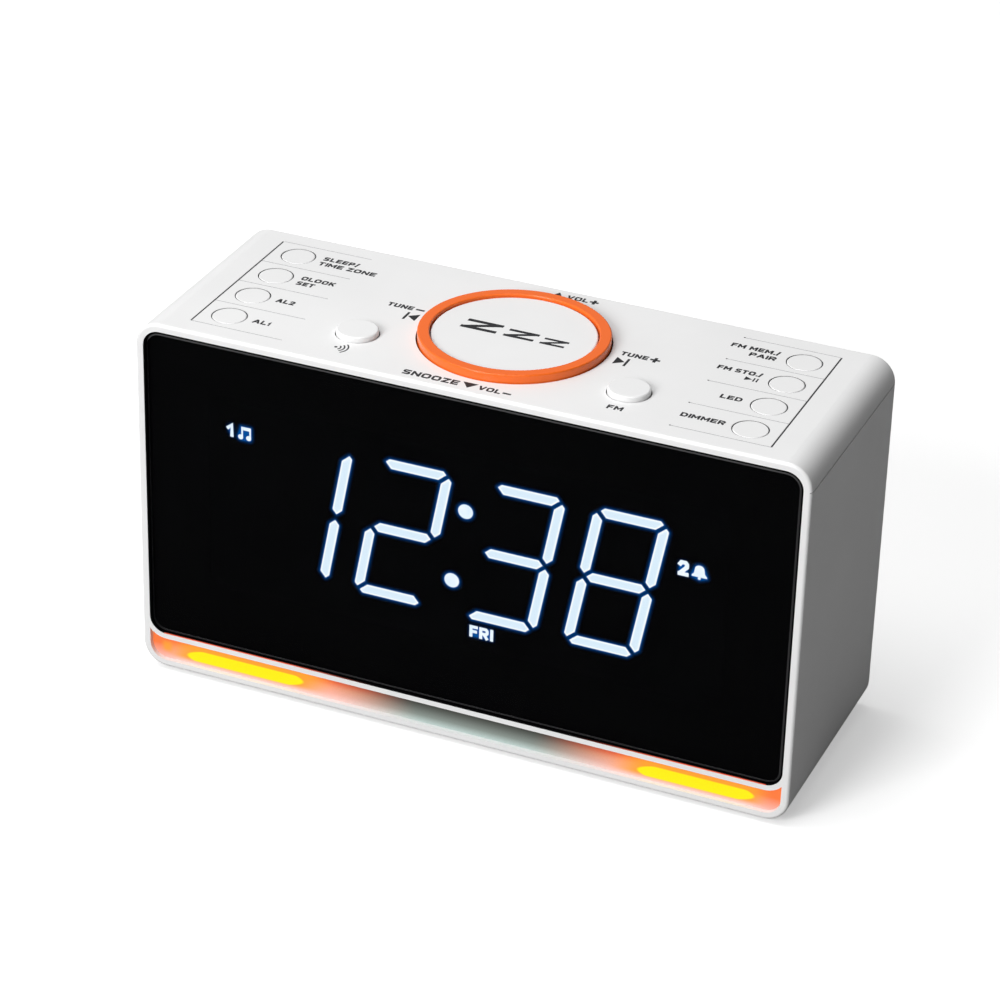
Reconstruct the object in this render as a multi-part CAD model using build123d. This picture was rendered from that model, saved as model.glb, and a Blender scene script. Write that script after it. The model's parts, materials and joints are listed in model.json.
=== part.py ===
from build123d import *
import math
import os

# Bedside clock radio. A white casing holds a dark display window with a light strip under it. Flush
# keys, two raised keys and a tilting ring with a snooze key in its middle are on top. The speaker,
# the sockets and the backup battery are reached from the back.
# Units are millimetres. X runs across (right as seen from the front), Y from front to back, Z up.
# The origin is the middle of the footprint, on the surface that the rubber feet stand on.

# ---- Driving dimensions ----
width = 160.0
depth = 56.8
casing_height = 89.2
foot_height = 1.0
corner_radius = 5.85
wall = 1.84
edge_round = 0.75
board_thickness = 1.6

# ---- Casing ----
front_y = -depth / 2
back_y = depth / 2
base_z = foot_height
top_z = base_z + casing_height
seam_z = top_z - corner_radius
ceiling_z = top_z - wall
floor_z = base_z + wall
side_x = width / 2 - wall
inner_radius = corner_radius - wall
seam_groove_width = 0.25
seam_groove_depth = 0.5
back_edge_round = 0.5
foot_radius = 5.5
foot_x = 66.0
foot_y = 19.0
foot_pocket = 0.5

# ---- Display window and light strip ----
window_low_z = base_z + 8.91
window_high_z = ceiling_z
window_radius = 4.1
crossbar_height = 1.26
frame_depth = 3.0
lens_recess = 0.2
lens_thickness = 1.2
lens_gap = 0.45
lens_bevel = 0.45
ledge_width = 1.6
ledge_thickness = 1.0
lens_front_y = front_y + lens_recess
lens_back_y = lens_front_y + lens_thickness
frame_back_y = front_y + frame_depth
shelf_low_z = window_low_z - crossbar_height
diffuser_front_y = front_y + 1.0
diffuser_slant = 0.5
strip_board_y = front_y + 12.0
strip_led_pitch = 20.0
strip_led_count = 8

# ---- Display ----
digit_width = 17.7
digit_height = 35.7
segment_width = 2.35
segment_gap = 1.1
digit_slant = 0.18
digit_middle_z = base_z + 49.9
digit_middles_x = (-38.6, -14.5, 12.45, 36.7)
digit_text = "1238"
lit_by_digit = {"1": "bc", "2": "abged", "3": "abgcd", "8": "abcdefg"}
segment_depth = 1.5
colon_radius = 1.78
colon_x = -0.8
colon_offset = (1.48, 9.1)
icon_sizes = {
    "alarm_1": (-55.3, base_z + 66.0, 6.2, 4.0),
    "alarm_2": (53.8, base_z + 57.6, 6.6, 4.4),
    "weekday": (5.1, base_z + 29.0, 6.2, 3.6),
}
reflector_front_y = lens_back_y + 0.1
reflector_depth = 9.0
reflector_half_width = 64.0
reflector_low_z = 24.0
reflector_high_z = 76.0
display_board_y = reflector_front_y + reflector_depth
display_board_half_width = 76.0
display_board_low_z = 12.5
display_board_high_z = 77.0
display_post_z = (20.0, 72.0)
display_post_x = 74.0
post_radius = 2.2

# ---- Keys on the top ----
key_board_top_z = 80.6
switch_height = 3.6
switch_side = 6.0
switch_top_z = key_board_top_z + switch_height
switch_bore = 1.6
stem_radius = 1.25
stem_tip_z = switch_top_z - 0.3
key_column_x = 62.0
first_key_y = front_y + 11.05
key_pitch = 11.65
key_radius = 3.9
key_hole_radius = 4.15
key_flange = 0.9
key_flange_thickness = 1.0
key_flange_gap = 0.1
key_edge_round = 0.2
raised_key_x = 32.45
raised_key_y = front_y + 15.6
raised_key_radius = 4.8
raised_key_hole_radius = 5.05
raised_key_height = 1.3
raised_key_round = 0.45
left_key_names = ("alarm_1_key", "alarm_2_key", "clock_set_key", "sleep_key")
right_key_names = ("dimmer_key", "light_key", "play_pause_key", "memory_key")
line_x = 68.7
line_width = 0.4
line_depth = 0.3
line_front_y = front_y + 5.3
hairline_width = 0.22
hairline_depth = 0.12
hairline_end_x = 46.0
cover_boss_radius = 2.6
cover_boss_x = 48.0
cover_boss_y = (-16.0, 18.0)
key_board_half_width = 70.0
key_board_y = (-21.6, 22.6)

# ---- Ring and snooze key ----
ring_outer_radius = 21.65
ring_inner_radius = 18.95
ring_hole_radius = 22.0
ring_height = 2.0
ring_outer_round = 0.3
ring_inner_round = 0.3
ring_flange_radius = 23.6
ring_flange_low_z = 86.0
ring_flange_high_z = 87.1
pivot_z = 86.2
pivot_pin_radius = 0.8
pivot_bore_radius = 0.86
rocker_switch_radius = 20.5
snooze_radius = 18.62
snooze_height = 1.35
snooze_thickness = 1.65
snooze_sleeve_radius = 6.0
snooze_sleeve_wall = 1.1
snooze_sleeve_low_z = 83.0
guide_inner_radius = 6.3
guide_outer_radius = 7.5
guide_top_z = 86.4
gimbal_inner_radius = 10.0
gimbal_outer_radius = 13.6
gimbal_half_thickness = 0.8
ear_half_width = 2.0
ear_near = 15.2
base_ear_far = 17.1
ring_ear_far = 19.2
ear_top_z = 87.6
ear_drop = 1.2
rocker_base_thickness = 1.2

# ---- Back ----
rear_cover_thickness = 2.2
rear_cover_recess = 0.3
rear_cover_gap = 0.15
rear_inner_y = back_y - rear_cover_recess - rear_cover_thickness
rear_outer_y = back_y - rear_cover_recess
rear_screw_x = 73.5
rear_screw_z = (9.0, 78.0)
rear_post_radius = 3.2
rear_post_front_y = 8.0
screw_radius = 1.2
screw_head_radius = 2.3
screw_head_height = 1.2

# ---- Speaker ----
speaker_x = 36.0
speaker_z = 46.0
speaker_radius = 26.0
speaker_lug_reach = 29.0
speaker_lug_radius = 3.5
speaker_gasket = 0.8
speaker_flange = 1.2
coil_radius = 6.5
grille_radius = 22.5
grille_pitch = 3.4
grille_slot = 1.6

# ---- Main board and sockets ----
main_board_x = (-69.0, -5.0)
main_board_y = (-12.0, 24.4)
main_board_z = 12.0
main_board_top_z = main_board_z + board_thickness
board_posts = ((-65.0, -8.5), (-9.0, -8.5), (-51.5, 21.0), (-9.0, 20.0))
chip_places = (
    (-48.0, 2.0, 10.0, 10.0, 1.4),
    (-32.0, -3.0, 7.0, 7.0, 1.2),
    (-22.0, 0.0, 6.0, 10.0, 1.6),
    (-57.0, -1.0, 5.0, 6.0, 1.4),
    (-36.0, 7.5, 5.0, 4.0, 1.2),
)
capacitor_places = (
    (-61.0, 6.5, 3.1, 11.0),
    (-53.5, 9.5, 2.5, 8.0),
    (-14.5, -6.0, 3.1, 9.0),
    (-14.0, 3.0, 2.5, 7.0),
)
socket_mouth_y = rear_outer_y - 0.1
socket_length = 14.0
socket_tip_recess = 0.8
power_x = -62.0
power_width = 9.0
power_height = 11.0
power_bore_radius = 2.75
power_bore_depth = 9.5
power_pin_radius = 1.05
usb_x = -40.0
usb_width = 13.2
usb_height = 5.9
usb_shell = 0.4
usb_floor_y = socket_mouth_y - 13.0
audio_x = -20.0
audio_axis_height = 3.2
audio_nose_radius = 3.0
audio_nose_length = 3.5
audio_bore_radius = 1.8
audio_depth = 14.0
antenna_x = -8.5
antenna_z = 30.0
socket_clearance = 0.25

# ---- Backup battery ----
cell_radius = 5.25
cell_length = 44.0
tray_x = (-66.2, -15.8)
tray_z = (47.0, 71.0)
tray_front_y = 12.8
tray_wall = 1.2
door_gap = 0.2
door_x = (-64.8, -17.2)
door_z = (48.4, 69.6)
door_pin_radius = 0.6
door_pin_reach = 1.0

# ---- Wiring ----
flat_cable_thickness = 0.4
wire_radius = 0.6
wire_bend = 2.5


# ---- Helpers ----
def outline(left, right, low, high, radius):
    """A rounded rectangle between two limits across and two limits up."""
    return Pos((left + right) / 2, (low + high) / 2) * RectangleRounded(right - left, high - low, radius)


def upright(sketch, y_front, y_back):
    """Stands a sketch of X and Z upright and extrudes it from y_front back to y_back."""
    plane = Plane(origin=(0, y_back, 0), x_dir=(1, 0, 0), z_dir=(0, -1, 0))
    return extrude(plane * sketch, amount=y_back - y_front)


def level(sketch, z_low, z_high):
    """Extrudes a sketch of X and Y from z_low up to z_high."""
    return extrude(Pos(0, 0, z_low) * sketch, amount=z_high - z_low)


def block(xs, ys, zs):
    """A box between pairs of X, Y and Z values."""
    middle = Pos(sum(xs) / 2, sum(ys) / 2, sum(zs) / 2)
    return middle * Box(xs[1] - xs[0], ys[1] - ys[0], zs[1] - zs[0])


def rod_z(x, y, z_low, z_high, radius):
    """A round rod along Z."""
    return Pos(x, y, (z_low + z_high) / 2) * Cylinder(radius, z_high - z_low)


def rod_y(x, z, y_front, y_back, radius):
    """A round rod along Y."""
    return Pos(x, (y_front + y_back) / 2, z) * Rot(90, 0, 0) * Cylinder(radius, y_back - y_front)


def rod_x(y, z, x_left, x_right, radius):
    """A round rod along X."""
    return Pos((x_left + x_right) / 2, y, z) * Rot(0, 90, 0) * Cylinder(radius, x_right - x_left)


def tube_z(x, y, z_low, z_high, outer, inner):
    """A round tube along Z."""
    return rod_z(x, y, z_low, z_high, outer) - rod_z(x, y, z_low, z_high, inner)


def turned(points):
    """Revolves a closed outline of radius and height about Z."""
    return revolve(Plane.XZ * make_face(Polyline(*points, close=True)), Axis.Z)


def on_speaker_axis(solid):
    """Lays a solid made about Z along the speaker's axis, its height running towards the back."""
    return Pos(speaker_x, 0, speaker_z) * Rot(-90, 0, 0) * solid


def key_row_y(row):
    """Y of a row of small keys, counted from the front."""
    return first_key_y + row * key_pitch


# ---- Casing ----
def window_outline(inset):
    """The display opening in the front frame, drawn inset by a given amount."""
    half = side_x - inset
    return outline(-half, half, window_low_z + inset, window_high_z - inset, window_radius - inset)


def strip_outline(inset):
    """The light strip's opening: the casing's inside, below a crossbar that follows the display opening."""
    half = side_x - inset
    cavity = outline(-half, half, floor_z + inset, ceiling_z - inset, inner_radius - inset)
    return cavity - window_outline(-crossbar_height - inset)


def casing_shell():
    """Four walls with a front frame, before the cover is parted from the housing."""
    body = outline(-width / 2, width / 2, base_z, top_z, corner_radius)
    shell = upright(body, front_y, back_y)
    shell = fillet(shell.faces().sort_by(Axis.Y)[0].edges(), edge_round)
    shell = fillet(shell.faces().sort_by(Axis.Y)[-1].edges(), back_edge_round)
    cavity = outline(-side_x, side_x, floor_z, ceiling_z, inner_radius)
    shell -= upright(cavity, frame_back_y, back_y)
    shell -= upright(window_outline(0), front_y, frame_back_y)
    shell -= upright(strip_outline(0), front_y, frame_back_y)
    ledge = window_outline(0) - window_outline(ledge_width)
    return shell + upright(ledge, lens_back_y, lens_back_y + ledge_thickness)


def above_seam():
    """The half space that the top cover takes."""
    return block((-width, width), (-depth, depth), (seam_z, top_z + 10))


def side_post(x, z, y_front, y_back, radius):
    """A screw post along Y with a rib to the side wall."""
    outward = math.copysign(1, x)
    reach = sorted((x, outward * (side_x + 0.2)))
    rib = block(reach, (y_front, y_back), (z - 0.8, z + 0.8))
    pilot = rod_y(x, z, y_front, y_back, screw_radius)
    return rod_y(x, z, y_front, y_back, radius) + rib - pilot


def lower_housing(shell):
    """Bottom, both sides and the front frame up to the seam, with posts, rails and the strip's shelf."""
    housing = shell - above_seam()
    shelf_x = (-side_x - 0.1, side_x + 0.1)
    housing += block(shelf_x, (frame_back_y - 0.1, strip_board_y), (shelf_low_z, window_low_z))
    for side in (-1, 1):
        groove = sorted((side * (width / 2 + 1), side * (width / 2 - seam_groove_depth)))
        housing -= block(groove, (-depth, depth), (seam_z - seam_groove_width, seam_z + 1))
        foot = sorted((side * (side_x + 0.1), side * (side_x - 1.8)))
        lip = sorted((side * (side_x - 0.7), side * (side_x - 1.8)))
        housing += block(foot, (-18, rear_inner_y - 0.2), (seam_z - 4, seam_z - 0.6))
        housing += block(lip, (-18, rear_inner_y - 0.2), (seam_z - 1, seam_z + 1.6))
        for z in rear_screw_z:
            housing += side_post(side * rear_screw_x, z, rear_post_front_y, rear_inner_y, rear_post_radius)
        for z in display_post_z:
            post_front_y = lens_back_y + ledge_thickness
            housing += side_post(side * display_post_x, z, post_front_y, display_board_y, post_radius)
        for y in (-foot_y, foot_y):
            housing -= rod_z(side * foot_x, y, base_z - 1, base_z + foot_pocket, foot_radius + 0.2)
    for x, y in board_posts:
        housing += rod_z(x, y, floor_z - 0.2, main_board_z, post_radius)
        housing -= rod_z(x, y, floor_z + 1, main_board_z + 1, 1.0)
    return housing


def top_cover(shell):
    """The lid with both rounded top edges, its key holes, printed-line grooves and screw bosses."""
    cover = shell & above_seam()
    cover -= rod_z(0, 0, ceiling_z - 1, top_z + 1, ring_hole_radius)
    for side in (-1, 1):
        cover -= rod_z(side * raised_key_x, raised_key_y, ceiling_z - 1, top_z + 1, raised_key_hole_radius)
        for row in range(4):
            cover -= rod_z(side * key_column_x, key_row_y(row), ceiling_z - 1, top_z + 1, key_hole_radius)
        line = (side * line_x - line_width / 2, side * line_x + line_width / 2)
        line_back_y = line_front_y + 4 * key_pitch
        cover -= block(line, (line_front_y, line_back_y), (top_z - line_depth, top_z + 1))
        for row in range(5):
            y = line_front_y + row * key_pitch
            ends = sorted((side * line_x, side * hairline_end_x))
            span = (y - hairline_width / 2, y + hairline_width / 2)
            cover -= block(ends, span, (top_z - hairline_depth, top_z + 1))
        for y in cover_boss_y:
            cover += rod_z(side * cover_boss_x, y, key_board_top_z, ceiling_z + 0.2, cover_boss_radius)
            cover -= rod_z(side * cover_boss_x, y, key_board_top_z - 1, ceiling_z - 1.5, 1.0)
    return cover


def rubber_feet():
    """Four round pads glued into shallow pockets."""
    pads = []
    for x in (-foot_x, foot_x):
        for y in (-foot_y, foot_y):
            pad = rod_z(x, y, 0, base_z + foot_pocket, foot_radius)
            pads.append(fillet(pad.edges().sort_by(Axis.Z)[0], 0.4))
    return pads


def display_lens():
    """The dark window with a bevelled front edge."""
    lens = upright(window_outline(lens_gap), lens_front_y, lens_back_y)
    return chamfer(lens.faces().sort_by(Axis.Y)[0].edges(), lens_bevel)


def light_strip():
    """The strip's milky window, its face leaning back towards the crossbar."""
    strip = upright(strip_outline(0.08), diffuser_front_y, frame_back_y - 0.15)
    wedge = Polyline(
        (diffuser_front_y - 1, floor_z - 1),
        (diffuser_front_y, floor_z),
        (diffuser_front_y + diffuser_slant, window_low_z + 1),
        (diffuser_front_y - 1, window_low_z + 1),
        close=True,
    )
    return strip - extrude(Plane.YZ * make_face(wedge), amount=width, both=True)


def strip_board():
    """The light strip's board, standing at the back of its channel."""
    return block((-74, 74), (strip_board_y, strip_board_y + 1.2), (3.2, shelf_low_z + 0.8))


def strip_leds():
    """A row of side-lit lamps facing the strip."""
    first = -strip_led_pitch * (strip_led_count - 1) / 2
    lamps = []
    for index in range(strip_led_count):
        x = first + index * strip_led_pitch
        lamps.append(block((x - 2.5, x + 2.5), (strip_board_y - 1.6, strip_board_y), (4.0, 7.6)))
    return lamps


# ---- Display ----
def segment_points(name):
    """Corner points of one upright segment about the digit's middle. The stroke ends are mitred."""
    half_w = digit_width / 2
    half_h = digit_height / 2
    t = segment_width
    shift = segment_gap / math.sqrt(8)
    tip = t / 2 + shift
    if name in "ad":
        up = 1 if name == "a" else -1
        right = (
            (half_w - t, half_h),
            (half_w - tip, half_h - t / 2 + shift),
            (half_w - t - 2 * shift, half_h - t),
        )
        left = [(-x, z) for x, z in reversed(right)]
        return [(x, up * z) for x, z in (*right, *left)]
    if name == "g":
        end = half_w - tip - shift
        inner = end - t / 2
        return [(end, 0), (inner, t / 2), (-inner, t / 2), (-end, 0), (-inner, -t / 2), (inner, -t / 2)]
    side = 1 if name in "bc" else -1
    up = 1 if name in "bf" else -1
    corners = (
        (half_w, half_h - t),
        (half_w - t / 2 + shift, half_h - tip),
        (half_w - t, half_h - t - 2 * shift),
        (half_w - t, 2 * shift + t / 2),
        (half_w - t / 2, 2 * shift),
        (half_w, 2 * shift + t / 2),
    )
    return [(side * x, up * z) for x, z in corners]


def segment(middle_x, name):
    """One slanted display segment, flush with the reflector's face."""
    points = [(middle_x + x + digit_slant * z, digit_middle_z + z) for x, z in segment_points(name)]
    face = make_face(Polyline(*points, close=True))
    return upright(face, reflector_front_y, reflector_front_y + segment_depth)


def display_segments(lit):
    """Every lit segment, or every unlit one."""
    pieces = []
    for digit, middle_x in zip(digit_text, digit_middles_x):
        for name in "abcdefg":
            if (name in lit_by_digit[digit]) == lit:
                pieces.append(segment(middle_x, name))
    return pieces


def display_dots():
    """The two round dots between hours and minutes."""
    dx, dz = colon_offset
    back = reflector_front_y + segment_depth
    dots = []
    for up in (1, -1):
        dots.append(rod_y(colon_x + up * dx, digit_middle_z + up * dz, reflector_front_y, back, colon_radius))
    return dots


def display_icons():
    """Light blocks behind the two alarm symbols and the weekday."""
    back = reflector_front_y + segment_depth
    icons = []
    for x, z, wide, high in icon_sizes.values():
        spans = ((x - wide / 2, x + wide / 2), (reflector_front_y, back), (z - high / 2, z + high / 2))
        icons.append(block(*spans))
    return icons


def display_reflector(inlays):
    """The block that the segments sit in."""
    half = reflector_half_width
    body = block((-half, half), (reflector_front_y, display_board_y), (reflector_low_z, reflector_high_z))
    for inlay in inlays:
        body -= inlay
    return body


def display_board():
    """The upright board that carries the display."""
    half = display_board_half_width
    ys = (display_board_y, display_board_y + board_thickness)
    board = block((-half, half), ys, (display_board_low_z, display_board_high_z))
    for x in (-display_post_x, display_post_x):
        for z in display_post_z:
            board -= rod_y(x, z, ys[0] - 1, ys[1] + 1, screw_radius)
    return board


# ---- Keys ----
def round_key(x, y, radius, height, rounding):
    """A round key with a stop flange under the cover and a stem that reaches into its switch."""
    flange_high_z = ceiling_z - key_flange_gap
    flange_low_z = flange_high_z - key_flange_thickness
    cap = rod_z(x, y, flange_low_z, top_z + height, radius)
    cap = fillet(cap.edges().sort_by(Axis.Z)[-1], rounding)
    flange = rod_z(x, y, flange_low_z, flange_high_z, radius + key_flange)
    stem = rod_z(x, y, stem_tip_z, flange_low_z + 0.1, stem_radius)
    return cap + flange + stem


def ring():
    """The tilting ring: its rim, a stop flange, two bearing ears and four stems onto its switches."""
    rim = tube_z(0, 0, ring_flange_low_z, top_z + ring_height, ring_outer_radius, ring_inner_radius)
    top_edges = rim.faces().sort_by(Axis.Z)[-1].edges().sort_by(SortBy.LENGTH)
    rim = fillet(top_edges[-1], ring_outer_round)
    top_edges = rim.faces().sort_by(Axis.Z)[-1].edges().sort_by(SortBy.LENGTH)
    rim = fillet(top_edges[0], ring_inner_round)
    rim += tube_z(0, 0, ring_flange_low_z, ring_flange_high_z, ring_flange_radius, ring_inner_radius)
    for side in (-1, 1):
        reach = sorted((side * ear_near, side * ring_ear_far))
        bore = sorted((side * ear_near, side * (ring_ear_far + 0.3)))
        rim += block((-ear_half_width, ear_half_width), reach, (pivot_z - ear_drop, ear_top_z))
        for x, y in ((side * rocker_switch_radius, 0), (0, side * rocker_switch_radius)):
            rim += rod_z(x, y, stem_tip_z, ring_flange_low_z + 0.1, stem_radius)
        rim -= rod_y(0, pivot_z, *bore, pivot_bore_radius)
    return rim


def ring_gimbal():
    """The pivot ring: pins along X turn in the fixed base, pins along Y carry the ring."""
    low = pivot_z - gimbal_half_thickness
    high = pivot_z + gimbal_half_thickness
    hoop = tube_z(0, 0, low, high, gimbal_outer_radius, gimbal_inner_radius)
    root = gimbal_outer_radius - 1
    for side in (-1, 1):
        hoop += rod_x(0, pivot_z, *sorted((side * root, side * base_ear_far)), pivot_pin_radius)
        hoop += rod_y(0, pivot_z, *sorted((side * root, side * ring_ear_far)), pivot_pin_radius)
    return hoop


def ring_base():
    """The fixed base: bearing ears for the gimbal and a sleeve that guides the snooze key."""
    plate_top_z = key_board_top_z + rocker_base_thickness
    base = tube_z(0, 0, key_board_top_z, plate_top_z, base_ear_far, switch_side * 0.8)
    base += tube_z(0, 0, key_board_top_z, guide_top_z, guide_outer_radius, guide_inner_radius)
    for side in (-1, 1):
        reach = sorted((side * ear_near, side * base_ear_far))
        ear = block(reach, (-ear_half_width, ear_half_width), (key_board_top_z, ear_top_z))
        base += ear - rod_x(0, pivot_z, *reach, pivot_bore_radius)
    clip = rod_z(0, 0, key_board_top_z - 1, ear_top_z + 1, base_ear_far)
    return base & clip


def snooze_key():
    """The round snooze key: a disc with a guide sleeve and a stem."""
    disc_top_z = top_z + snooze_height
    disc_low_z = disc_top_z - snooze_thickness
    disc = rod_z(0, 0, disc_low_z, disc_top_z, snooze_radius)
    disc = fillet(disc.edges().sort_by(Axis.Z)[-1], ring_inner_round)
    sleeve_inner_radius = snooze_sleeve_radius - snooze_sleeve_wall
    sleeve = tube_z(0, 0, snooze_sleeve_low_z, disc_low_z + 0.1, snooze_sleeve_radius, sleeve_inner_radius)
    return disc + sleeve + rod_z(0, 0, stem_tip_z, disc_low_z + 0.1, stem_radius)


def switch_places():
    """X and Y of every switch on the key board."""
    places = [(0, 0)]
    for side in (-1, 1):
        places.append((side * rocker_switch_radius, 0))
        places.append((0, side * rocker_switch_radius))
        places.append((side * raised_key_x, raised_key_y))
        for row in range(4):
            places.append((side * key_column_x, key_row_y(row)))
    return places


def key_switches():
    """One push switch under each key and four under the ring."""
    half = switch_side / 2
    switches = []
    for x, y in switch_places():
        body = block((x - half, x + half), (y - half, y + half), (key_board_top_z, switch_top_z))
        switches.append(body - rod_z(x, y, switch_top_z - 1.8, switch_top_z + 1, switch_bore))
    return switches


def key_board():
    """The board under the top cover."""
    half = key_board_half_width
    board = block((-half, half), key_board_y, (key_board_top_z - board_thickness, key_board_top_z))
    for x in (-cover_boss_x, cover_boss_x):
        for y in cover_boss_y:
            board -= rod_z(x, y, key_board_top_z - board_thickness - 1, key_board_top_z + 1, 1.0)
    return board


# ---- Back ----
def rear_cover():
    """The back panel with speaker slots, socket openings and the battery opening."""
    gap = rear_cover_gap
    half = side_x - gap
    panel_outline = outline(-half, half, floor_z + gap, ceiling_z - gap, inner_radius - gap)
    panel = upright(panel_outline, rear_inner_y, rear_outer_y)
    cut = (rear_inner_y - 1, rear_outer_y + 1)
    rows = int(grille_radius / grille_pitch)
    for row in range(-rows, rows + 1):
        offset = row * grille_pitch
        half_slot = math.sqrt(grille_radius**2 - offset**2)
        slot = Pos(speaker_x, speaker_z + offset) * SlotOverall(2 * half_slot, grille_slot)
        panel -= upright(slot, *cut)
    for x in (-rear_screw_x, rear_screw_x):
        for z in rear_screw_z:
            panel -= rod_y(x, z, *cut, screw_radius)
            panel -= rod_y(x, z, rear_outer_y - screw_head_height, cut[1], screw_head_radius + 0.1)
    opening_x = (door_x[0] - door_gap, door_x[1] + door_gap)
    panel -= block(opening_x, cut, (door_z[0] - door_gap, door_z[1] + door_gap))
    panel -= rod_x(door_pivot_y(), door_pivot_z(), *door_pin_span(0.2), door_pin_radius + 0.06)
    for opening in socket_bodies(socket_clearance).values():
        panel -= opening
    return panel - rod_y(antenna_x, antenna_z, *cut, 2.4)


def rear_screws():
    """Four screws that hold the rear cover."""
    screws = []
    for x in (-rear_screw_x, rear_screw_x):
        for z in rear_screw_z:
            seat_y = rear_outer_y - screw_head_height
            shank = rod_y(x, z, rear_inner_y - 9, seat_y, screw_radius)
            head = rod_y(x, z, seat_y, rear_outer_y - 0.1, screw_head_radius)
            slots = block((x - 1.4, x + 1.4), (seat_y + 0.5, rear_outer_y), (z - 0.25, z + 0.25))
            slots += block((x - 0.25, x + 0.25), (seat_y + 0.5, rear_outer_y), (z - 1.4, z + 1.4))
            screws.append(shank + head - slots)
    return screws


def board_screws():
    """Screws that hold the three boards, heads on the far side from the posts."""
    screws = []
    for x in (-cover_boss_x, cover_boss_x):
        for y in cover_boss_y:
            low = key_board_top_z - board_thickness
            screws.append(rod_z(x, y, low, low + 6, 1.0) + rod_z(x, y, low - 1.2, low, 2.2))
    top = main_board_top_z
    for x, y in board_posts:
        screws.append(rod_z(x, y, floor_z + 3, top, 1.0) + rod_z(x, y, top, top + 1.2, 2.2))
    for x in (-display_post_x, display_post_x):
        for z in display_post_z:
            back = display_board_y + board_thickness
            shank = rod_y(x, z, back - 8, back, screw_radius)
            screws.append(shank + rod_y(x, z, back, back + 1.2, 2.0))
    return screws


# ---- Main board and sockets ----
def socket_bodies(grow):
    """Outer shapes of the three sockets, grown by a clearance, up to their mouths."""
    back = socket_mouth_y + (2 if grow else 0)
    low = main_board_top_z
    y = (socket_mouth_y - socket_length, back)
    power_half = power_width / 2 + grow
    usb_half = usb_width / 2 + grow
    power = block((power_x - power_half, power_x + power_half), y, (low - grow, low + power_height + grow))
    usb = block((usb_x - usb_half, usb_x + usb_half), y, (low - grow, low + usb_height + grow))
    nose_y = socket_mouth_y - audio_nose_length
    audio = rod_y(audio_x, low + audio_axis_height, nose_y, back, audio_nose_radius + grow)
    return {"power": power, "usb": usb, "audio": audio}


def power_socket():
    """The round low-voltage inlet's body."""
    z = main_board_top_z + power_height / 2
    bore = rod_y(power_x, z, socket_mouth_y - power_bore_depth, socket_mouth_y + 1, power_bore_radius)
    return socket_bodies(0)["power"] - bore


def power_pin():
    """The inlet's centre pin, standing on the bore's floor."""
    z = main_board_top_z + power_height / 2
    tip_y = socket_mouth_y - socket_tip_recess
    return rod_y(power_x, z, socket_mouth_y - power_bore_depth, tip_y, power_pin_radius)


def usb_socket():
    """The charging socket's folded shell."""
    low = main_board_top_z
    inner_half = usb_width / 2 - usb_shell
    inner_x = (usb_x - inner_half, usb_x + inner_half)
    inner_z = (low + usb_shell, low + usb_height - usb_shell)
    return socket_bodies(0)["usb"] - block(inner_x, (usb_floor_y, socket_mouth_y + 1), inner_z)


def usb_tongue():
    """The tongue that carries the charging socket's contacts."""
    low = main_board_top_z
    tongue_x = (usb_x - 5.6, usb_x + 5.6)
    return block(tongue_x, (usb_floor_y, socket_mouth_y - socket_tip_recess), (low + 3.2, low + 5.0))


def audio_socket():
    """The 3.5 mm socket: a block with a round nose and a bore."""
    low = main_board_top_z
    half = audio_axis_height
    body_y = (socket_mouth_y - 15.5, rear_inner_y - 0.2)
    body = block((audio_x - half, audio_x + half), body_y, (low, low + 2 * half))
    body += socket_bodies(0)["audio"]
    bore_y = (socket_mouth_y - audio_depth, socket_mouth_y + 1)
    return body - rod_y(audio_x, low + audio_axis_height, *bore_y, audio_bore_radius)


def antenna_grommet():
    """The bush that the wire antenna leaves through."""
    bush = rod_y(antenna_x, antenna_z, rear_inner_y - 1.2, rear_inner_y, 3.4)
    bush += rod_y(antenna_x, antenna_z, rear_inner_y - 0.1, rear_outer_y, 2.35)
    return bush - rod_y(antenna_x, antenna_z, rear_inner_y - 2, rear_outer_y + 1, 0.8)


def main_board():
    """The board that carries the sockets and the electronics."""
    board = block(main_board_x, main_board_y, (main_board_z, main_board_top_z))
    for x, y in board_posts:
        board -= rod_z(x, y, main_board_z - 1, main_board_top_z + 1, 1.0)
    return board


def board_chips():
    """Packages on the main board: processor, tuner, amplifier, clock chip and memory."""
    top = main_board_top_z
    chips = []
    for x, y, wide, deep, high in chip_places:
        chips.append(block((x - wide / 2, x + wide / 2), (y - deep / 2, y + deep / 2), (top, top + high)))
    return chips


def board_capacitors():
    """Upright round capacitors on the main board."""
    top = main_board_top_z
    return [rod_z(x, y, top, top + high, radius) for x, y, radius, high in capacitor_places]


def clock_crystal():
    """The small metal can that sets the clock's pace."""
    return rod_x(-8.5, main_board_top_z + 1.5, -49.5, -42.5, 1.5)


def wireless_module():
    """The short-range wireless module with its screening can."""
    top = main_board_top_z
    card = block((-41, -26), (-11.6, -7.2), (top, top + 0.8))
    can = block((-39.5, -28), (-11.2, -7.6), (top + 0.8, top + 2.6))
    return card + can


# ---- Speaker ----
def speaker_seat():
    """Height along the speaker's axis where the magnet meets the frame."""
    return rear_inner_y - speaker_gasket - speaker_flange - 12.5


def speaker_gasket_ring():
    """The foam ring between the speaker and the rear cover."""
    return on_speaker_axis(tube_z(0, 0, rear_inner_y - speaker_gasket, rear_inner_y, speaker_radius, 24.0))


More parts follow.
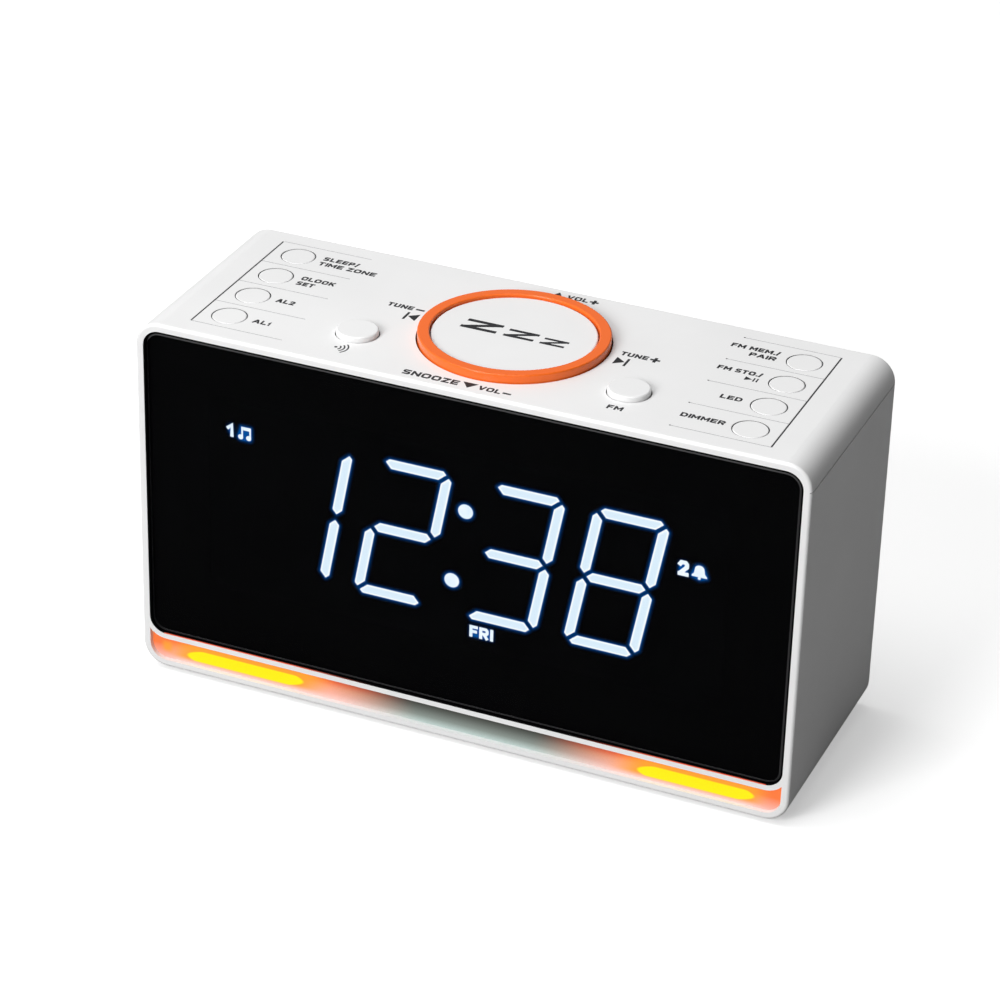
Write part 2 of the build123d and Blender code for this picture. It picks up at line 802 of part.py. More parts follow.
def speaker_basket():
    """The pressed frame: a flange with four lugs, four arms and a rear plate seat."""
    high = rear_inner_y - speaker_gasket
    low = high - speaker_flange
    flange = rod_z(0, 0, low, high, speaker_radius)
    for quarter in range(4):
        angle = math.radians(45 + 90 * quarter)
        x = speaker_lug_reach * math.cos(angle)
        y = speaker_lug_reach * math.sin(angle)
        flange += rod_z(x, y, low, high, speaker_lug_radius)
        flange -= rod_z(x, y, low - 1, high + 1, 1.6)
    flange -= rod_z(0, 0, low - 1, high + 1, 23.9)
    outside = turned([(25.0, low + 0.1), (23.9, low + 0.1), (14.0, low - 11.5), (15.1, low - 11.5)])
    window = block((-5.5, 5.5), (-30, 30), (low - 8.5, low - 2))
    for quarter in range(2):
        outside -= Rot(0, 0, 45 + 90 * quarter) * window
    seat = speaker_seat()
    plate = tube_z(0, 0, seat, seat + 1.1, 15.1, 7.2)
    ledge = tube_z(0, 0, seat + 1.0, seat + 1.7, 15.2, 13.4)
    return on_speaker_axis(flange + outside + plate + ledge)


def speaker_magnet():
    """The ring magnet."""
    seat = speaker_seat()
    return on_speaker_axis(tube_z(0, 0, seat - 7.0, seat, 14.0, 7.6))


def speaker_yoke():
    """Back plate with the centre pole."""
    seat = speaker_seat()
    plate = rod_z(0, 0, seat - 9.5, seat - 7.0, 13.6)
    return on_speaker_axis(plate + rod_z(0, 0, seat - 7.1, seat + 1.0, 5.6))


def speaker_coil():
    """The voice coil's former in the magnet's gap."""
    neck, _ = cone_heights()
    return on_speaker_axis(tube_z(0, 0, speaker_seat() - 3.5, neck + 0.6, coil_radius, coil_radius - 0.5))


def cone_heights():
    """Height of the cone's neck and rim along the speaker's axis."""
    rim = rear_inner_y - speaker_gasket - speaker_flange + 0.1
    return rim - 8.0, rim


def speaker_cone():
    """The paper cone."""
    neck, rim = cone_heights()
    return on_speaker_axis(turned([(coil_radius, neck), (coil_radius + 0.6, neck), (20.4, rim), (19.6, rim)]))


def speaker_dust_cap():
    """The dome over the voice coil."""
    neck, _ = cone_heights()
    dome = Pos(0, 0, neck - 3.2) * (Sphere(8.6) - Sphere(8.2))
    return on_speaker_axis(dome & block((-9, 9), (-9, 9), (neck + 1.0, neck + 9)))


def speaker_surround():
    """The half-round rubber edge between cone and frame."""
    _, rim = cone_heights()
    roll = Pos(0, 0, rim) * (Torus(21.9, 1.4) - Torus(21.9, 1.1))
    roll &= block((-30, 30), (-30, 30), (rim, rim + 3))
    roll += tube_z(0, 0, rim, rim + 0.3, 23.8, 23.1)
    return on_speaker_axis(roll + tube_z(0, 0, rim, rim + 0.3, 20.7, 19.6))


def speaker_spider():
    """The corrugated disc that centres the voice coil."""
    low = speaker_seat() + 1.7
    thickness = 0.3
    ripple = 0.45
    under = [(coil_radius, low)]
    for step in range(1, 8):
        under.append((coil_radius + step * 0.95, low + ripple * (step % 2)))
    under.append((14.4, low))
    over = [(radius, height + thickness) for radius, height in reversed(under)]
    return on_speaker_axis(turned(under + over))


# ---- Backup battery ----
def door_pivot_y():
    """Y of the battery door's pins, in the middle of the panel."""
    return (rear_inner_y + rear_outer_y) / 2


def door_pivot_z():
    """Z of the battery door's pins, at the centre of its rounded lower edge."""
    return door_z[0] + rear_cover_thickness / 2


def door_pin_span(extra):
    """X limits of the battery door's pins."""
    return door_x[0] - door_pin_reach - extra, door_x[1] + door_pin_reach + extra


def battery_door():
    """The door: it turns on two pins at its rounded lower edge and has grip ribs near the top."""
    plate = block(door_x, (rear_inner_y, rear_outer_y), (door_pivot_z(), door_z[1]))
    plate += rod_x(door_pivot_y(), door_pivot_z(), *door_x, rear_cover_thickness / 2)
    plate += rod_x(door_pivot_y(), door_pivot_z(), *door_pin_span(0), door_pin_radius)
    middle_x = sum(door_x) / 2
    for step in range(3):
        z = door_z[1] - 3 - 1.6 * step
        grip_x = (middle_x - 6, middle_x + 6)
        plate -= block(grip_x, (rear_outer_y - 0.5, rear_outer_y + 1), (z - 0.4, z + 0.4))
    return plate


def battery_tray():
    """The well for two small cells, open towards the back."""
    tray = block(tray_x, (tray_front_y, rear_inner_y), tray_z)
    inside_x = (tray_x[0] + tray_wall, tray_x[1] - tray_wall)
    inside_z = (tray_z[0] + tray_wall, tray_z[1] - tray_wall)
    return tray - block(inside_x, (tray_front_y + tray_wall, rear_inner_y + 1), inside_z)


def cell_heights():
    """Z of the two cells."""
    middle = sum(tray_z) / 2
    return middle - cell_radius - 0.1, middle + cell_radius + 0.1


def battery_cells():
    """Two backup cells, head to tail."""
    middle_x = sum(tray_x) / 2
    y = tray_front_y + tray_wall + cell_radius + 0.2
    cells = []
    for z, head in zip(cell_heights(), (-1, 1)):
        can = (middle_x - cell_length / 2 + 0.8, middle_x + cell_length / 2 - 0.8)
        nub_x = head * (cell_length / 2)
        nub = sorted((middle_x + nub_x, middle_x + nub_x - head * 1.0))
        cells.append(rod_x(y, z, *can, cell_radius) + rod_x(y, z, *nub, 1.9))
    return cells


def battery_contacts():
    """Plated contact leaves at both ends of the cells."""
    y = tray_front_y + tray_wall + cell_radius + 0.2
    low, high = cell_heights()
    leaves = []
    for side, wall_x in ((1, tray_x[0] + tray_wall), (-1, tray_x[1] - tray_wall)):
        leaf_x = sorted((wall_x, wall_x + side * 0.5))
        for z in (low, high):
            leaf = block(leaf_x, (y - 3.5, y + 3.5), (z - 3.8, z + 3.8))
            spring_x = sorted((wall_x + side * 0.4, wall_x + side * 1.5))
            leaves.append(leaf + rod_x(y, z, *spring_x, 2.2))
    return leaves


# ---- Wiring held inside ----
def flat_cable(points, bend, x_left, x_right):
    """A flat cable between two X limits, its route given as Y and Z."""
    route = FilletPolyline(*[(x_left, y, z) for y, z in points], radius=bend)
    start = Plane(origin=route @ 0, x_dir=(1, 0, 0), z_dir=route % 0)
    profile = start * Rectangle(x_right - x_left, flat_cable_thickness, align=(Align.MIN, Align.CENTER))
    return sweep(profile, path=route)


def key_cable():
    """From the key board down to the main board."""
    start_z = key_board_top_z - board_thickness
    points = ((-7.0, start_z), (-7.0, 60.0), (-10.0, 36.0), (-10.0, main_board_top_z))
    return flat_cable(points, 12.0, -24.0, -12.0)


def display_cable():
    """From the main board up to the display board."""
    back = display_board_y + board_thickness
    points = ((-9.0, main_board_top_z), (-9.0, 24.0), (back, 24.0))
    return flat_cable(points, 3.0, -62.0, -50.0)


def round_wire(points, radius, bend):
    """A round wire through the given points."""
    route = FilletPolyline(*points, radius=bend)
    profile = Plane(origin=route @ 0, z_dir=route % 0) * Circle(radius)
    return sweep(profile, path=route)


def speaker_wires():
    """Two wires from the main board to the speaker's frame."""
    wires = []
    for offset in (0, 2.0):
        left_x = -8.5 - offset
        right_x = speaker_x - 8.0 - offset
        run_z = 21.0 + offset
        points = (
            (left_x, 9.0, main_board_top_z),
            (left_x, 9.0, run_z),
            (right_x, 17.0, run_z),
            (right_x, 17.0, 27.5),
        )
        wires.append(round_wire(points, wire_radius, wire_bend))
    return wires


# ---- Nodes ----
def all_nodes():
    """Every node by name."""
    shell = casing_shell()
    lit = display_segments(True)
    unlit = display_segments(False)
    dots = display_dots()
    icons = display_icons()
    raised = (raised_key_y, raised_key_radius, raised_key_height, raised_key_round)
    nodes = {
        "lower_housing": lower_housing(shell),
        "top_cover": top_cover(shell),
        "rear_cover": rear_cover(),
        "rubber_feet": rubber_feet(),
        "display_lens": display_lens(),
        "light_strip": light_strip(),
        "light_strip_board": strip_board(),
        "light_strip_leds": strip_leds(),
        "display_reflector": display_reflector(lit + unlit + dots + icons),
        "lit_segments": lit,
        "unlit_segments": unlit,
        "colon_dots": dots,
        "icon_windows": icons,
        "display_board": display_board(),
        "wireless_key": round_key(-raised_key_x, *raised),
        "fm_key": round_key(raised_key_x, *raised),
        "tuning_ring": ring(),
        "ring_gimbal": ring_gimbal(),
        "ring_base": ring_base(),
        "snooze_key": snooze_key(),
        "key_switches": key_switches(),
        "key_board": key_board(),
        "rear_screws": rear_screws(),
        "board_screws": board_screws(),
        "power_socket": power_socket(),
        "power_pin": power_pin(),
        "usb_socket": usb_socket(),
        "usb_tongue": usb_tongue(),
        "audio_socket": audio_socket(),
        "antenna_grommet": antenna_grommet(),
        "main_board": main_board(),
        "board_chips": board_chips(),
        "board_capacitors": board_capacitors(),
        "clock_crystal": clock_crystal(),
        "wireless_module": wireless_module(),
        "speaker_gasket": speaker_gasket_ring(),
        "speaker_basket": speaker_basket(),
        "speaker_magnet": speaker_magnet(),
        "speaker_yoke": speaker_yoke(),
        "voice_coil": speaker_coil(),
        "speaker_cone": speaker_cone(),
        "speaker_dust_cap": speaker_dust_cap(),
        "speaker_surround": speaker_surround(),
        "speaker_spider": speaker_spider(),
        "battery_door": battery_door(),
        "battery_tray": battery_tray(),
        "battery_cells": battery_cells(),
        "battery_contacts": battery_contacts(),
        "key_cable": key_cable(),
        "display_cable": display_cable(),
        "speaker_wires": speaker_wires(),
    }
    for side, names in ((-1, left_key_names), (1, right_key_names)):
        for row, name in enumerate(names):
            nodes[name] = round_key(side * key_column_x, key_row_y(row), key_radius, 0, key_edge_round)
    return nodes


def main():
    os.makedirs("parts", exist_ok=True)
    for name, shape in all_nodes().items():
        solids = shape if isinstance(shape, list) else shape.solids()
        made = Compound(children=solids) if len(solids) > 1 else solids[0]
        export_step(made, f"parts/{name}.step")


main()
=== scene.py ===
import json
import math

import bmesh
import bpy
from mathutils import Matrix, Vector


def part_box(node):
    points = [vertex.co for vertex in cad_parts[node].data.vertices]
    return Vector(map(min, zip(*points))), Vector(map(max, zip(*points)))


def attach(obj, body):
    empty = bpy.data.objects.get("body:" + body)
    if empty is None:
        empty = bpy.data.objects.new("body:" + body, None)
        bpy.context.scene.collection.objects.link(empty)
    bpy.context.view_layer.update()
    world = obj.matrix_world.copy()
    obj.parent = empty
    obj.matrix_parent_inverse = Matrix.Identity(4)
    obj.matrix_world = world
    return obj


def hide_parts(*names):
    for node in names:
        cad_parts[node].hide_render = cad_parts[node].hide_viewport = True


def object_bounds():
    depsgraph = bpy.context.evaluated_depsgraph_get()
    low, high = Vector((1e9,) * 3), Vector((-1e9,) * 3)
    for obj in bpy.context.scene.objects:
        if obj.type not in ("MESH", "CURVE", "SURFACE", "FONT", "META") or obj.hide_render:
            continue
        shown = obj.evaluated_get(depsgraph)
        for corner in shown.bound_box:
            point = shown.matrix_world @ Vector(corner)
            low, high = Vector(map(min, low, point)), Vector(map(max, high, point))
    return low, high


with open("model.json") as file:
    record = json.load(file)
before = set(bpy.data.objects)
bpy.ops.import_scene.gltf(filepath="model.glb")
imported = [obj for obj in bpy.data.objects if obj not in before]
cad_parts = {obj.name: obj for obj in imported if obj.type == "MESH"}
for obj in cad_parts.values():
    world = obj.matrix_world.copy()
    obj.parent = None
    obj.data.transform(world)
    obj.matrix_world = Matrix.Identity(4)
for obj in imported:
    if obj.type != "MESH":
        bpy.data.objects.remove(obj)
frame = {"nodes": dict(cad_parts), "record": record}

# Clock radio. Metres, +Z up, the radio's front faces -Y.
MM = 0.001
CAD_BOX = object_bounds()
NODES = frame["nodes"]
SLOT_OF = {part["node"]: part["material_slot"] for part in frame["record"]["subparts"]}


# ---------------------------------------------------------------- places taken from the frame
COVER_LOW, COVER_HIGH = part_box("top_cover")
LENS_LOW, LENS_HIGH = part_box("display_lens")
REFLECTOR_LOW, REFLECTOR_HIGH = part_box("display_reflector")
STRIP_LOW_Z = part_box("light_strip")[0].z
REAR_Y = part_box("rear_cover")[1].y
FRONT_Y = COVER_LOW.y
TOP_Z = COVER_HIGH.z
FLOOR_Z = CAD_BOX[0].z
DISC_TOP_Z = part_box("snooze_key")[1].z
PRINT_THICKNESS = 0.02 * MM


def middle(node):
    """The middle of a CAD node's box."""
    low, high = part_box(node)
    return (low + high) / 2


def islands(node):
    """The separate solids of a CAD node, each as a list of its points, from left to right."""
    shape = bmesh.new()
    shape.from_mesh(NODES[node].data)
    bmesh.ops.remove_doubles(shape, verts=shape.verts, dist=1e-6)
    left = set(shape.verts)
    found = []
    while left:
        reached = [left.pop()]
        for vert in reached:
            for edge in vert.link_edges:
                other = edge.other_vert(vert)
                if other in left:
                    left.discard(other)
                    reached.append(other)
        found.append([vert.co.copy() for vert in reached])
    shape.free()
    return sorted(found, key=lambda points: min(point.x for point in points))


# ---------------------------------------------------------------- material helpers
def material(name):
    """A new material: the material, its node tree and its Principled shader."""
    made = bpy.data.materials.new(name)
    made.use_nodes = True
    return made, made.node_tree, made.node_tree.nodes["Principled BSDF"]


def add(tree, kind, **values):
    """Adds a node and sets its properties or its inputs."""
    node = tree.nodes.new(kind)
    for key, value in values.items():
        if hasattr(node, key):
            setattr(node, key, value)
        else:
            node.inputs[key].default_value = value
    return node


def socket(tree, value, target):
    """Feeds an input from another node's output, or from a plain number."""
    if isinstance(value, (int, float)):
        target.default_value = value
    else:
        tree.links.new(value, target)


def calc(tree, operation, first, second=0.0):
    """One arithmetic step between outputs or numbers."""
    node = add(tree, "ShaderNodeMath", operation=operation)
    for value, target in zip((first, second), node.inputs):
        socket(tree, value, target)
    return node.outputs[0]


def step(tree, value, low, high):
    """A smooth step from 0 at low to 1 at high."""
    node = add(tree, "ShaderNodeMapRange", interpolation_type="SMOOTHSTEP")
    tree.links.new(value, node.inputs["Value"])
    node.inputs["From Min"].default_value = low
    node.inputs["From Max"].default_value = high
    return node.outputs["Result"]


def fade(tree, value, low, high):
    """A smooth step from 1 at low to 0 at high."""
    return calc(tree, "SUBTRACT", 1.0, step(tree, value, low, high))


def away_from(tree, value, spot):
    """How far a value is from a spot, on either side."""
    return calc(tree, "ABSOLUTE", calc(tree, "SUBTRACT", value, spot))


def scaled(tree, value, low, high):
    """Spreads a value from 0 to 1 over a new range."""
    node = add(tree, "ShaderNodeMapRange")
    tree.links.new(value, node.inputs["Value"])
    node.inputs["To Min"].default_value = low
    node.inputs["To Max"].default_value = high
    return node.outputs["Result"]


def ramp(tree, fac, stops):
    """A colour ramp from (position, (r, g, b)) stops."""
    node = tree.nodes.new("ShaderNodeValToRGB")
    elements = node.color_ramp.elements
    elements.remove(elements[-1])
    for index, (position, colour) in enumerate(stops):
        element = elements[0] if index == 0 else elements.new(position)
        element.position = position
        element.color = (*colour, 1.0)
    tree.links.new(fac, node.inputs["Fac"])
    return node.outputs["Color"]


def mix(tree, fac, first, second):
    """Mixes two colours."""
    node = add(tree, "ShaderNodeMix", data_type="RGBA")
    for value, target in ((fac, node.inputs[0]), (first, node.inputs[6]), (second, node.inputs[7])):
        if isinstance(value, tuple):
            target.default_value = (*value, 1.0)
        else:
            socket(tree, value, target)
    return node.outputs[2]


def place(tree):
    """The point's own coordinates, in metres, as an output and as X, Y and Z."""
    point = add(tree, "ShaderNodeTexCoord").outputs["Object"]
    split = add(tree, "ShaderNodeSeparateXYZ")
    tree.links.new(point, split.inputs[0])
    return point, split.outputs


def noise(tree, point, scale, detail=2.0):
    """Cloudy noise, its scale in waves per metre."""
    node = add(tree, "ShaderNodeTexNoise", Scale=scale, Detail=detail)
    tree.links.new(point, node.inputs["Vector"])
    return node.outputs["Fac"]


def relief(tree, shader, height, depth):
    """Bump from a height, its full depth in metres."""
    node = add(tree, "ShaderNodeBump", Strength=1.0, Distance=depth)
    tree.links.new(height, node.inputs["Height"])
    tree.links.new(node.outputs["Normal"], shader.inputs["Normal"])


def moulded(name, colour, roughness, grain=3500.0, depth=0.004 * MM, variation=0.03, specular=0.5):
    """Moulded plastic or rubber: a fine grain, and faint clouds in its colour and gloss."""
    made, tree, shader = material(name)
    point, _ = place(tree)
    darker = tuple(part * (1 - variation) for part in colour)
    cloud = noise(tree, point, 35.0, 3.0)
    tree.links.new(ramp(tree, cloud, [(0.35, darker), (0.65, colour)]), shader.inputs["Base Color"])
    fine = noise(tree, point, grain)
    tree.links.new(scaled(tree, fine, roughness * 0.88, roughness * 1.12), shader.inputs["Roughness"])
    relief(tree, shader, fine, depth)
    shader.inputs["Specular IOR Level"].default_value = specular
    return made


# ---------------------------------------------------------------- materials of the outside
# How much each face of the window stops, and what is left behind both.
LENS_ALPHA = 0.30
LENS_PASSES = (1 - LENS_ALPHA) ** 2
# Painted highlight: the grey of the window's bevel where it faces up or to the right.
BEVEL_HIGHLIGHT_GREY = (0.070, 0.070, 0.072)
# The lit strip: its bright cores stand side by side at one part of its height.
STRIP_HEIGHT = 5.8 * MM
STRIP_WARM_MIDDLE_X = 4 * MM
LEFT_CORE_X, RIGHT_CORE_X = -54.0 * MM, 57.8 * MM
CORE_MIDDLE = 0.39
END_LAMP_X = -74.3 * MM
AMBER = (1.0, 0.36, 0.03)
LAMP_YELLOW = (1.0, 0.84, 0.005)


def dark_window():
    """Smoked acrylic whose flat faces let light through. The bevel above and on the right gets a painted
    highlight: it is painted lighter grey where it faces the light.
    """
    made, tree, shader = material("dark_window")
    point, _ = place(tree)
    haze = noise(tree, point, 60.0, 2.0)
    tint = ramp(tree, haze, [(0.3, (0.0012, 0.0012, 0.0016)), (0.7, (0.002, 0.002, 0.0024))])
    facing = add(tree, "ShaderNodeSeparateXYZ")
    tree.links.new(add(tree, "ShaderNodeTexCoord").outputs["Normal"], facing.inputs[0])
    # Painted highlight: faces of the bevel that point up or to the right are painted grey.
    lit_bevel = step(tree, calc(tree, "MAXIMUM", facing.outputs[0], facing.outputs[2]), 0.2, 0.5)
    flat = step(tree, calc(tree, "ABSOLUTE", facing.outputs[1]), 0.88, 0.96)
    tree.links.new(mix(tree, lit_bevel, tint, BEVEL_HIGHLIGHT_GREY), shader.inputs["Base Color"])
    gloss = calc(tree, "MULTIPLY", flat, scaled(tree, haze, 0.62, 0.65))
    tree.links.new(calc(tree, "SUBTRACT", 0.70, gloss), shader.inputs["Roughness"])
    tree.links.new(scaled(tree, flat, 1.0, LENS_ALPHA), shader.inputs["Alpha"])
    tree.links.new(scaled(tree, flat, 0.0, 0.06), shader.inputs["Specular IOR Level"])
    return made


def strip_colour(tree, across, height):
    """Colours of the lit strip: amber lamps near both ends, grey-green between them. Both run from light at
    the bottom to dark at the top, painted light low on the strip and painted shade high up under the
    crossbar.
    """
    # Painted light and shade: lighter low on the strip, darker high up under the crossbar.
    middle_light_and_shade = ramp(tree, height, [
        (0.0, (0.50, 0.61, 0.58)),
        (0.30, (0.24, 0.28, 0.255)),
        (0.58, (0.125, 0.14, 0.125)),
        (0.82, (0.05, 0.052, 0.045)),
    ])
    warm_light_and_shade = ramp(tree, height, [
        (0.0, (1.0, 0.62, 0.56)),
        (0.25, (1.0, 0.47, 0.36)),
        (0.55, (1.0, 0.36, 0.20)),
        (0.75, (0.96, 0.17, 0.06)),
        (0.90, (0.80, 0.085, 0.03)),
    ])
    away = away_from(tree, across, STRIP_WARM_MIDDLE_X)
    lean = calc(tree, "MULTIPLY", height, 3 * MM)
    warm = step(tree, calc(tree, "SUBTRACT", away, lean), 12 * MM, 40 * MM)
    return mix(tree, warm, middle_light_and_shade, warm_light_and_shade)


def strip_core(tree, across, height):
    """Masks of the bright core in front of each pair of amber lamps, and of the glow round it."""
    off_middle = calc(tree, "SUBTRACT", height, CORE_MIDDLE)
    leaning = calc(tree, "SUBTRACT", across, calc(tree, "MULTIPLY", off_middle, 4.0 * MM))
    from_left = away_from(tree, leaning, LEFT_CORE_X)
    from_right = away_from(tree, leaning, RIGHT_CORE_X)
    near = calc(tree, "MINIMUM", from_left, calc(tree, "ADD", from_right, 1.2 * MM))
    flat = calc(tree, "ABSOLUTE", off_middle)
    squared = calc(tree, "POWER", calc(tree, "DIVIDE", flat, 0.24), 2.0)
    reach = calc(tree, "ADD", near, calc(tree, "MULTIPLY", squared, 2.6 * MM))
    core = calc(tree, "MULTIPLY", fade(tree, flat, 0.21, 0.28), fade(tree, reach, 14.4 * MM, 15.4 * MM))
    wide = fade(tree, away_from(tree, height, 0.50), 0.22, 0.50)
    glow = calc(tree, "MULTIPLY", wide, fade(tree, near, 13.5 * MM, 23.0 * MM))
    return core, glow


def milky_window():
    """The diffusing strip, lit by its lamps, with painted light low on it and painted shade high up under the
    crossbar, both in its glow.
    """
    made, tree, shader = material("milky_window")
    point, (across, _, up) = place(tree)
    grain = noise(tree, point, 2600.0, 3.0)
    height = calc(tree, "DIVIDE", calc(tree, "SUBTRACT", up, STRIP_LOW_Z), STRIP_HEIGHT)
    colour = strip_colour(tree, across, height)
    core, glow = strip_core(tree, across, height)
    colour = mix(tree, glow, colour, AMBER)
    ends = step(tree, calc(tree, "ABSOLUTE", across), 70 * MM, 76.5 * MM)
    # Painted light and shade at both ends as well: paler low down, deeper red high up.
    colour = mix(tree, ends, colour, ramp(tree, height, [(0.0, (1.0, 0.47, 0.40)), (0.6, (1.0, 0.20, 0.05))]))
    colour = mix(tree, core, colour, LAMP_YELLOW)
    spot = fade(tree, away_from(tree, across, END_LAMP_X), 0.3 * MM, 2.0 * MM)
    level = fade(tree, away_from(tree, height, 0.50), 0.08, 0.34)
    end_lamp = calc(tree, "MULTIPLY", calc(tree, "MULTIPLY", spot, level), 0.85)
    colour = mix(tree, end_lamp, colour, AMBER)
    tree.links.new(mix(tree, 0.88, colour, (0.0, 0.0, 0.0)), shader.inputs["Base Color"])
    tree.links.new(colour, shader.inputs["Emission Color"])
    tree.links.new(scaled(tree, grain, 0.86, 1.0), shader.inputs["Emission Strength"])
    tree.links.new(scaled(tree, grain, 0.28, 0.4), shader.inputs["Roughness"])
    shader.inputs["Specular IOR Level"].default_value = 0.3
    return made


def lit_resin():
    """A lit segment: bluish white, a little uneven."""
    made, tree, shader = material("led_lit")
    point, _ = place(tree)
    cloud = noise(tree, point, 260.0, 2.0)
    bluish = ramp(tree, cloud, [(0.3, (0.72, 0.86, 0.98)), (0.7, (0.90, 0.96, 1.0))])
    tree.links.new(bluish, shader.inputs["Emission Color"])
    shader.inputs["Base Color"].default_value = (0.05, 0.05, 0.05, 1)
    shader.inputs["Emission Strength"].default_value = 1.0 / LENS_PASSES
    return made


def painted_glow(name, strength, see_through):
    """Light painted per vertex in the colour attribute "glow", whose alpha fades it out."""
    made, tree, shader = material(name)
    painted = add(tree, "ShaderNodeVertexColor", layer_name="glow")
    tree.links.new(painted.outputs["Color"], shader.inputs["Emission Color"])
    shader.inputs["Base Color"].default_value = (0.0, 0.0, 0.0, 1)
    shader.inputs["Emission Strength"].default_value = strength
    shader.inputs["Specular IOR Level"].default_value = 0.0
    if see_through:
        tree.links.new(painted.outputs["Alpha"], shader.inputs["Alpha"])
    return made


def leaking_light():
    """Red light that leaks out under the window, near both ends only."""
    made, tree, shader = material("leaking_light")
    point, (across, _, _) = place(tree)
    warm = step(tree, away_from(tree, across, STRIP_WARM_MIDDLE_X), 24 * MM, 50 * MM)
    grain = noise(tree, point, 900.0)
    red = ramp(tree, grain, [(0.3, (0.95, 0.10, 0.04)), (0.7, (1.0, 0.17, 0.08))])
    tree.links.new(red, shader.inputs["Emission Color"])
    tree.links.new(scaled(tree, warm, 0.0, 0.85), shader.inputs["Emission Strength"])
    shader.inputs["Base Color"].default_value = (0.004, 0.004, 0.004, 1)
    shader.inputs["Specular IOR Level"].default_value = 0.05
    return made


# ---------------------------------------------------------------- materials of the inside and back
def banded(name, colours, spacing, axis, roughness, metallic=0.0):
    """Stripes at a given spacing, such as a winding, a flat cable's leads or a cell's printed bands."""
    made, tree, shader = material(name)
    point, parts = place(tree)
    phase = calc(tree, "FRACT", calc(tree, "DIVIDE", parts["XYZ".index(axis)], spacing))
    ridge = calc(tree, "SUBTRACT", 1.0, away_from(tree, calc(tree, "MULTIPLY", phase, 2.0), 1.0))
    tree.links.new(ramp(tree, ridge, [(0.15, colours[0]), (0.45, colours[1])]), shader.inputs["Base Color"])
    worn = noise(tree, point, 900.0)
    tree.links.new(scaled(tree, worn, roughness * 0.8, roughness * 1.2), shader.inputs["Roughness"])
    relief(tree, shader, ridge, 0.02 * MM)
    shader.inputs["Metallic"].default_value = metallic
    return made


def circuit_board():
    """Green solder mask over tracks that run at right angles, with plated pads."""
    made, tree, shader = material("circuit_board")
    point, _ = place(tree)
    tracks = add(tree, "ShaderNodeTexBrick", Scale=180.0, offset=0.37, squash=0.6)
    tracks.inputs["Mortar Size"].default_value = 0.018
    tracks.inputs["Color1"].default_value = (0.010, 0.085, 0.035, 1)
    tracks.inputs["Color2"].default_value = (0.014, 0.105, 0.045, 1)
    tracks.inputs["Mortar"].default_value = (0.035, 0.19, 0.075, 1)
    tree.links.new(point, tracks.inputs["Vector"])
    pads = add(tree, "ShaderNodeTexVoronoi", Scale=230.0)
    tree.links.new(point, pads.inputs["Vector"])
    pad = calc(tree, "LESS_THAN", pads.outputs["Distance"], 0.16)
    tree.links.new(mix(tree, pad, tracks.outputs["Color"], (0.75, 0.62, 0.36)), shader.inputs["Base Color"])
    tree.links.new(calc(tree, "MULTIPLY", pad, 0.9), shader.inputs["Metallic"])
    tree.links.new(scaled(tree, noise(tree, point, 300.0), 0.3, 0.42), shader.inputs["Roughness"])
    relief(tree, shader, tracks.outputs["Fac"], 0.03 * MM)
    return made


def plated(name, colour, roughness):
    """Plated sheet: drawn streaks along X and slightly uneven gloss."""
    made, tree, shader = material(name)
    point, _ = place(tree)
    stretch = add(tree, "ShaderNodeMapping")
    stretch.inputs["Scale"].default_value = (0.08, 1.0, 1.0)
    tree.links.new(point, stretch.inputs["Vector"])
    streak = noise(tree, stretch.outputs["Vector"], 1800.0, 4.0)
    darker = tuple(part * 0.8 for part in colour)
    tree.links.new(ramp(tree, streak, [(0.3, darker), (0.7, colour)]), shader.inputs["Base Color"])
    tree.links.new(scaled(tree, streak, roughness * 0.7, roughness * 1.3), shader.inputs["Roughness"])
    relief(tree, shader, streak, 0.004 * MM)
    shader.inputs["Metallic"].default_value = 1.0
    return made


def cellular(name, colour, scale, roughness, depth):
    """Foam, pressed paper or sintered ferrite: small rounded cells."""
    made, tree, shader = material(name)
    point, _ = place(tree)
    cells = add(tree, "ShaderNodeTexVoronoi", Scale=scale)
    tree.links.new(point, cells.inputs["Vector"])
    bulge = cells.outputs["Distance"]
    darker = tuple(part * 0.55 for part in colour)
    tree.links.new(ramp(tree, bulge, [(0.1, darker), (0.6, colour)]), shader.inputs["Base Color"])
    tree.links.new(scaled(tree, bulge, roughness * 0.85, roughness), shader.inputs["Roughness"])
    relief(tree, shader, bulge, depth)
    return made


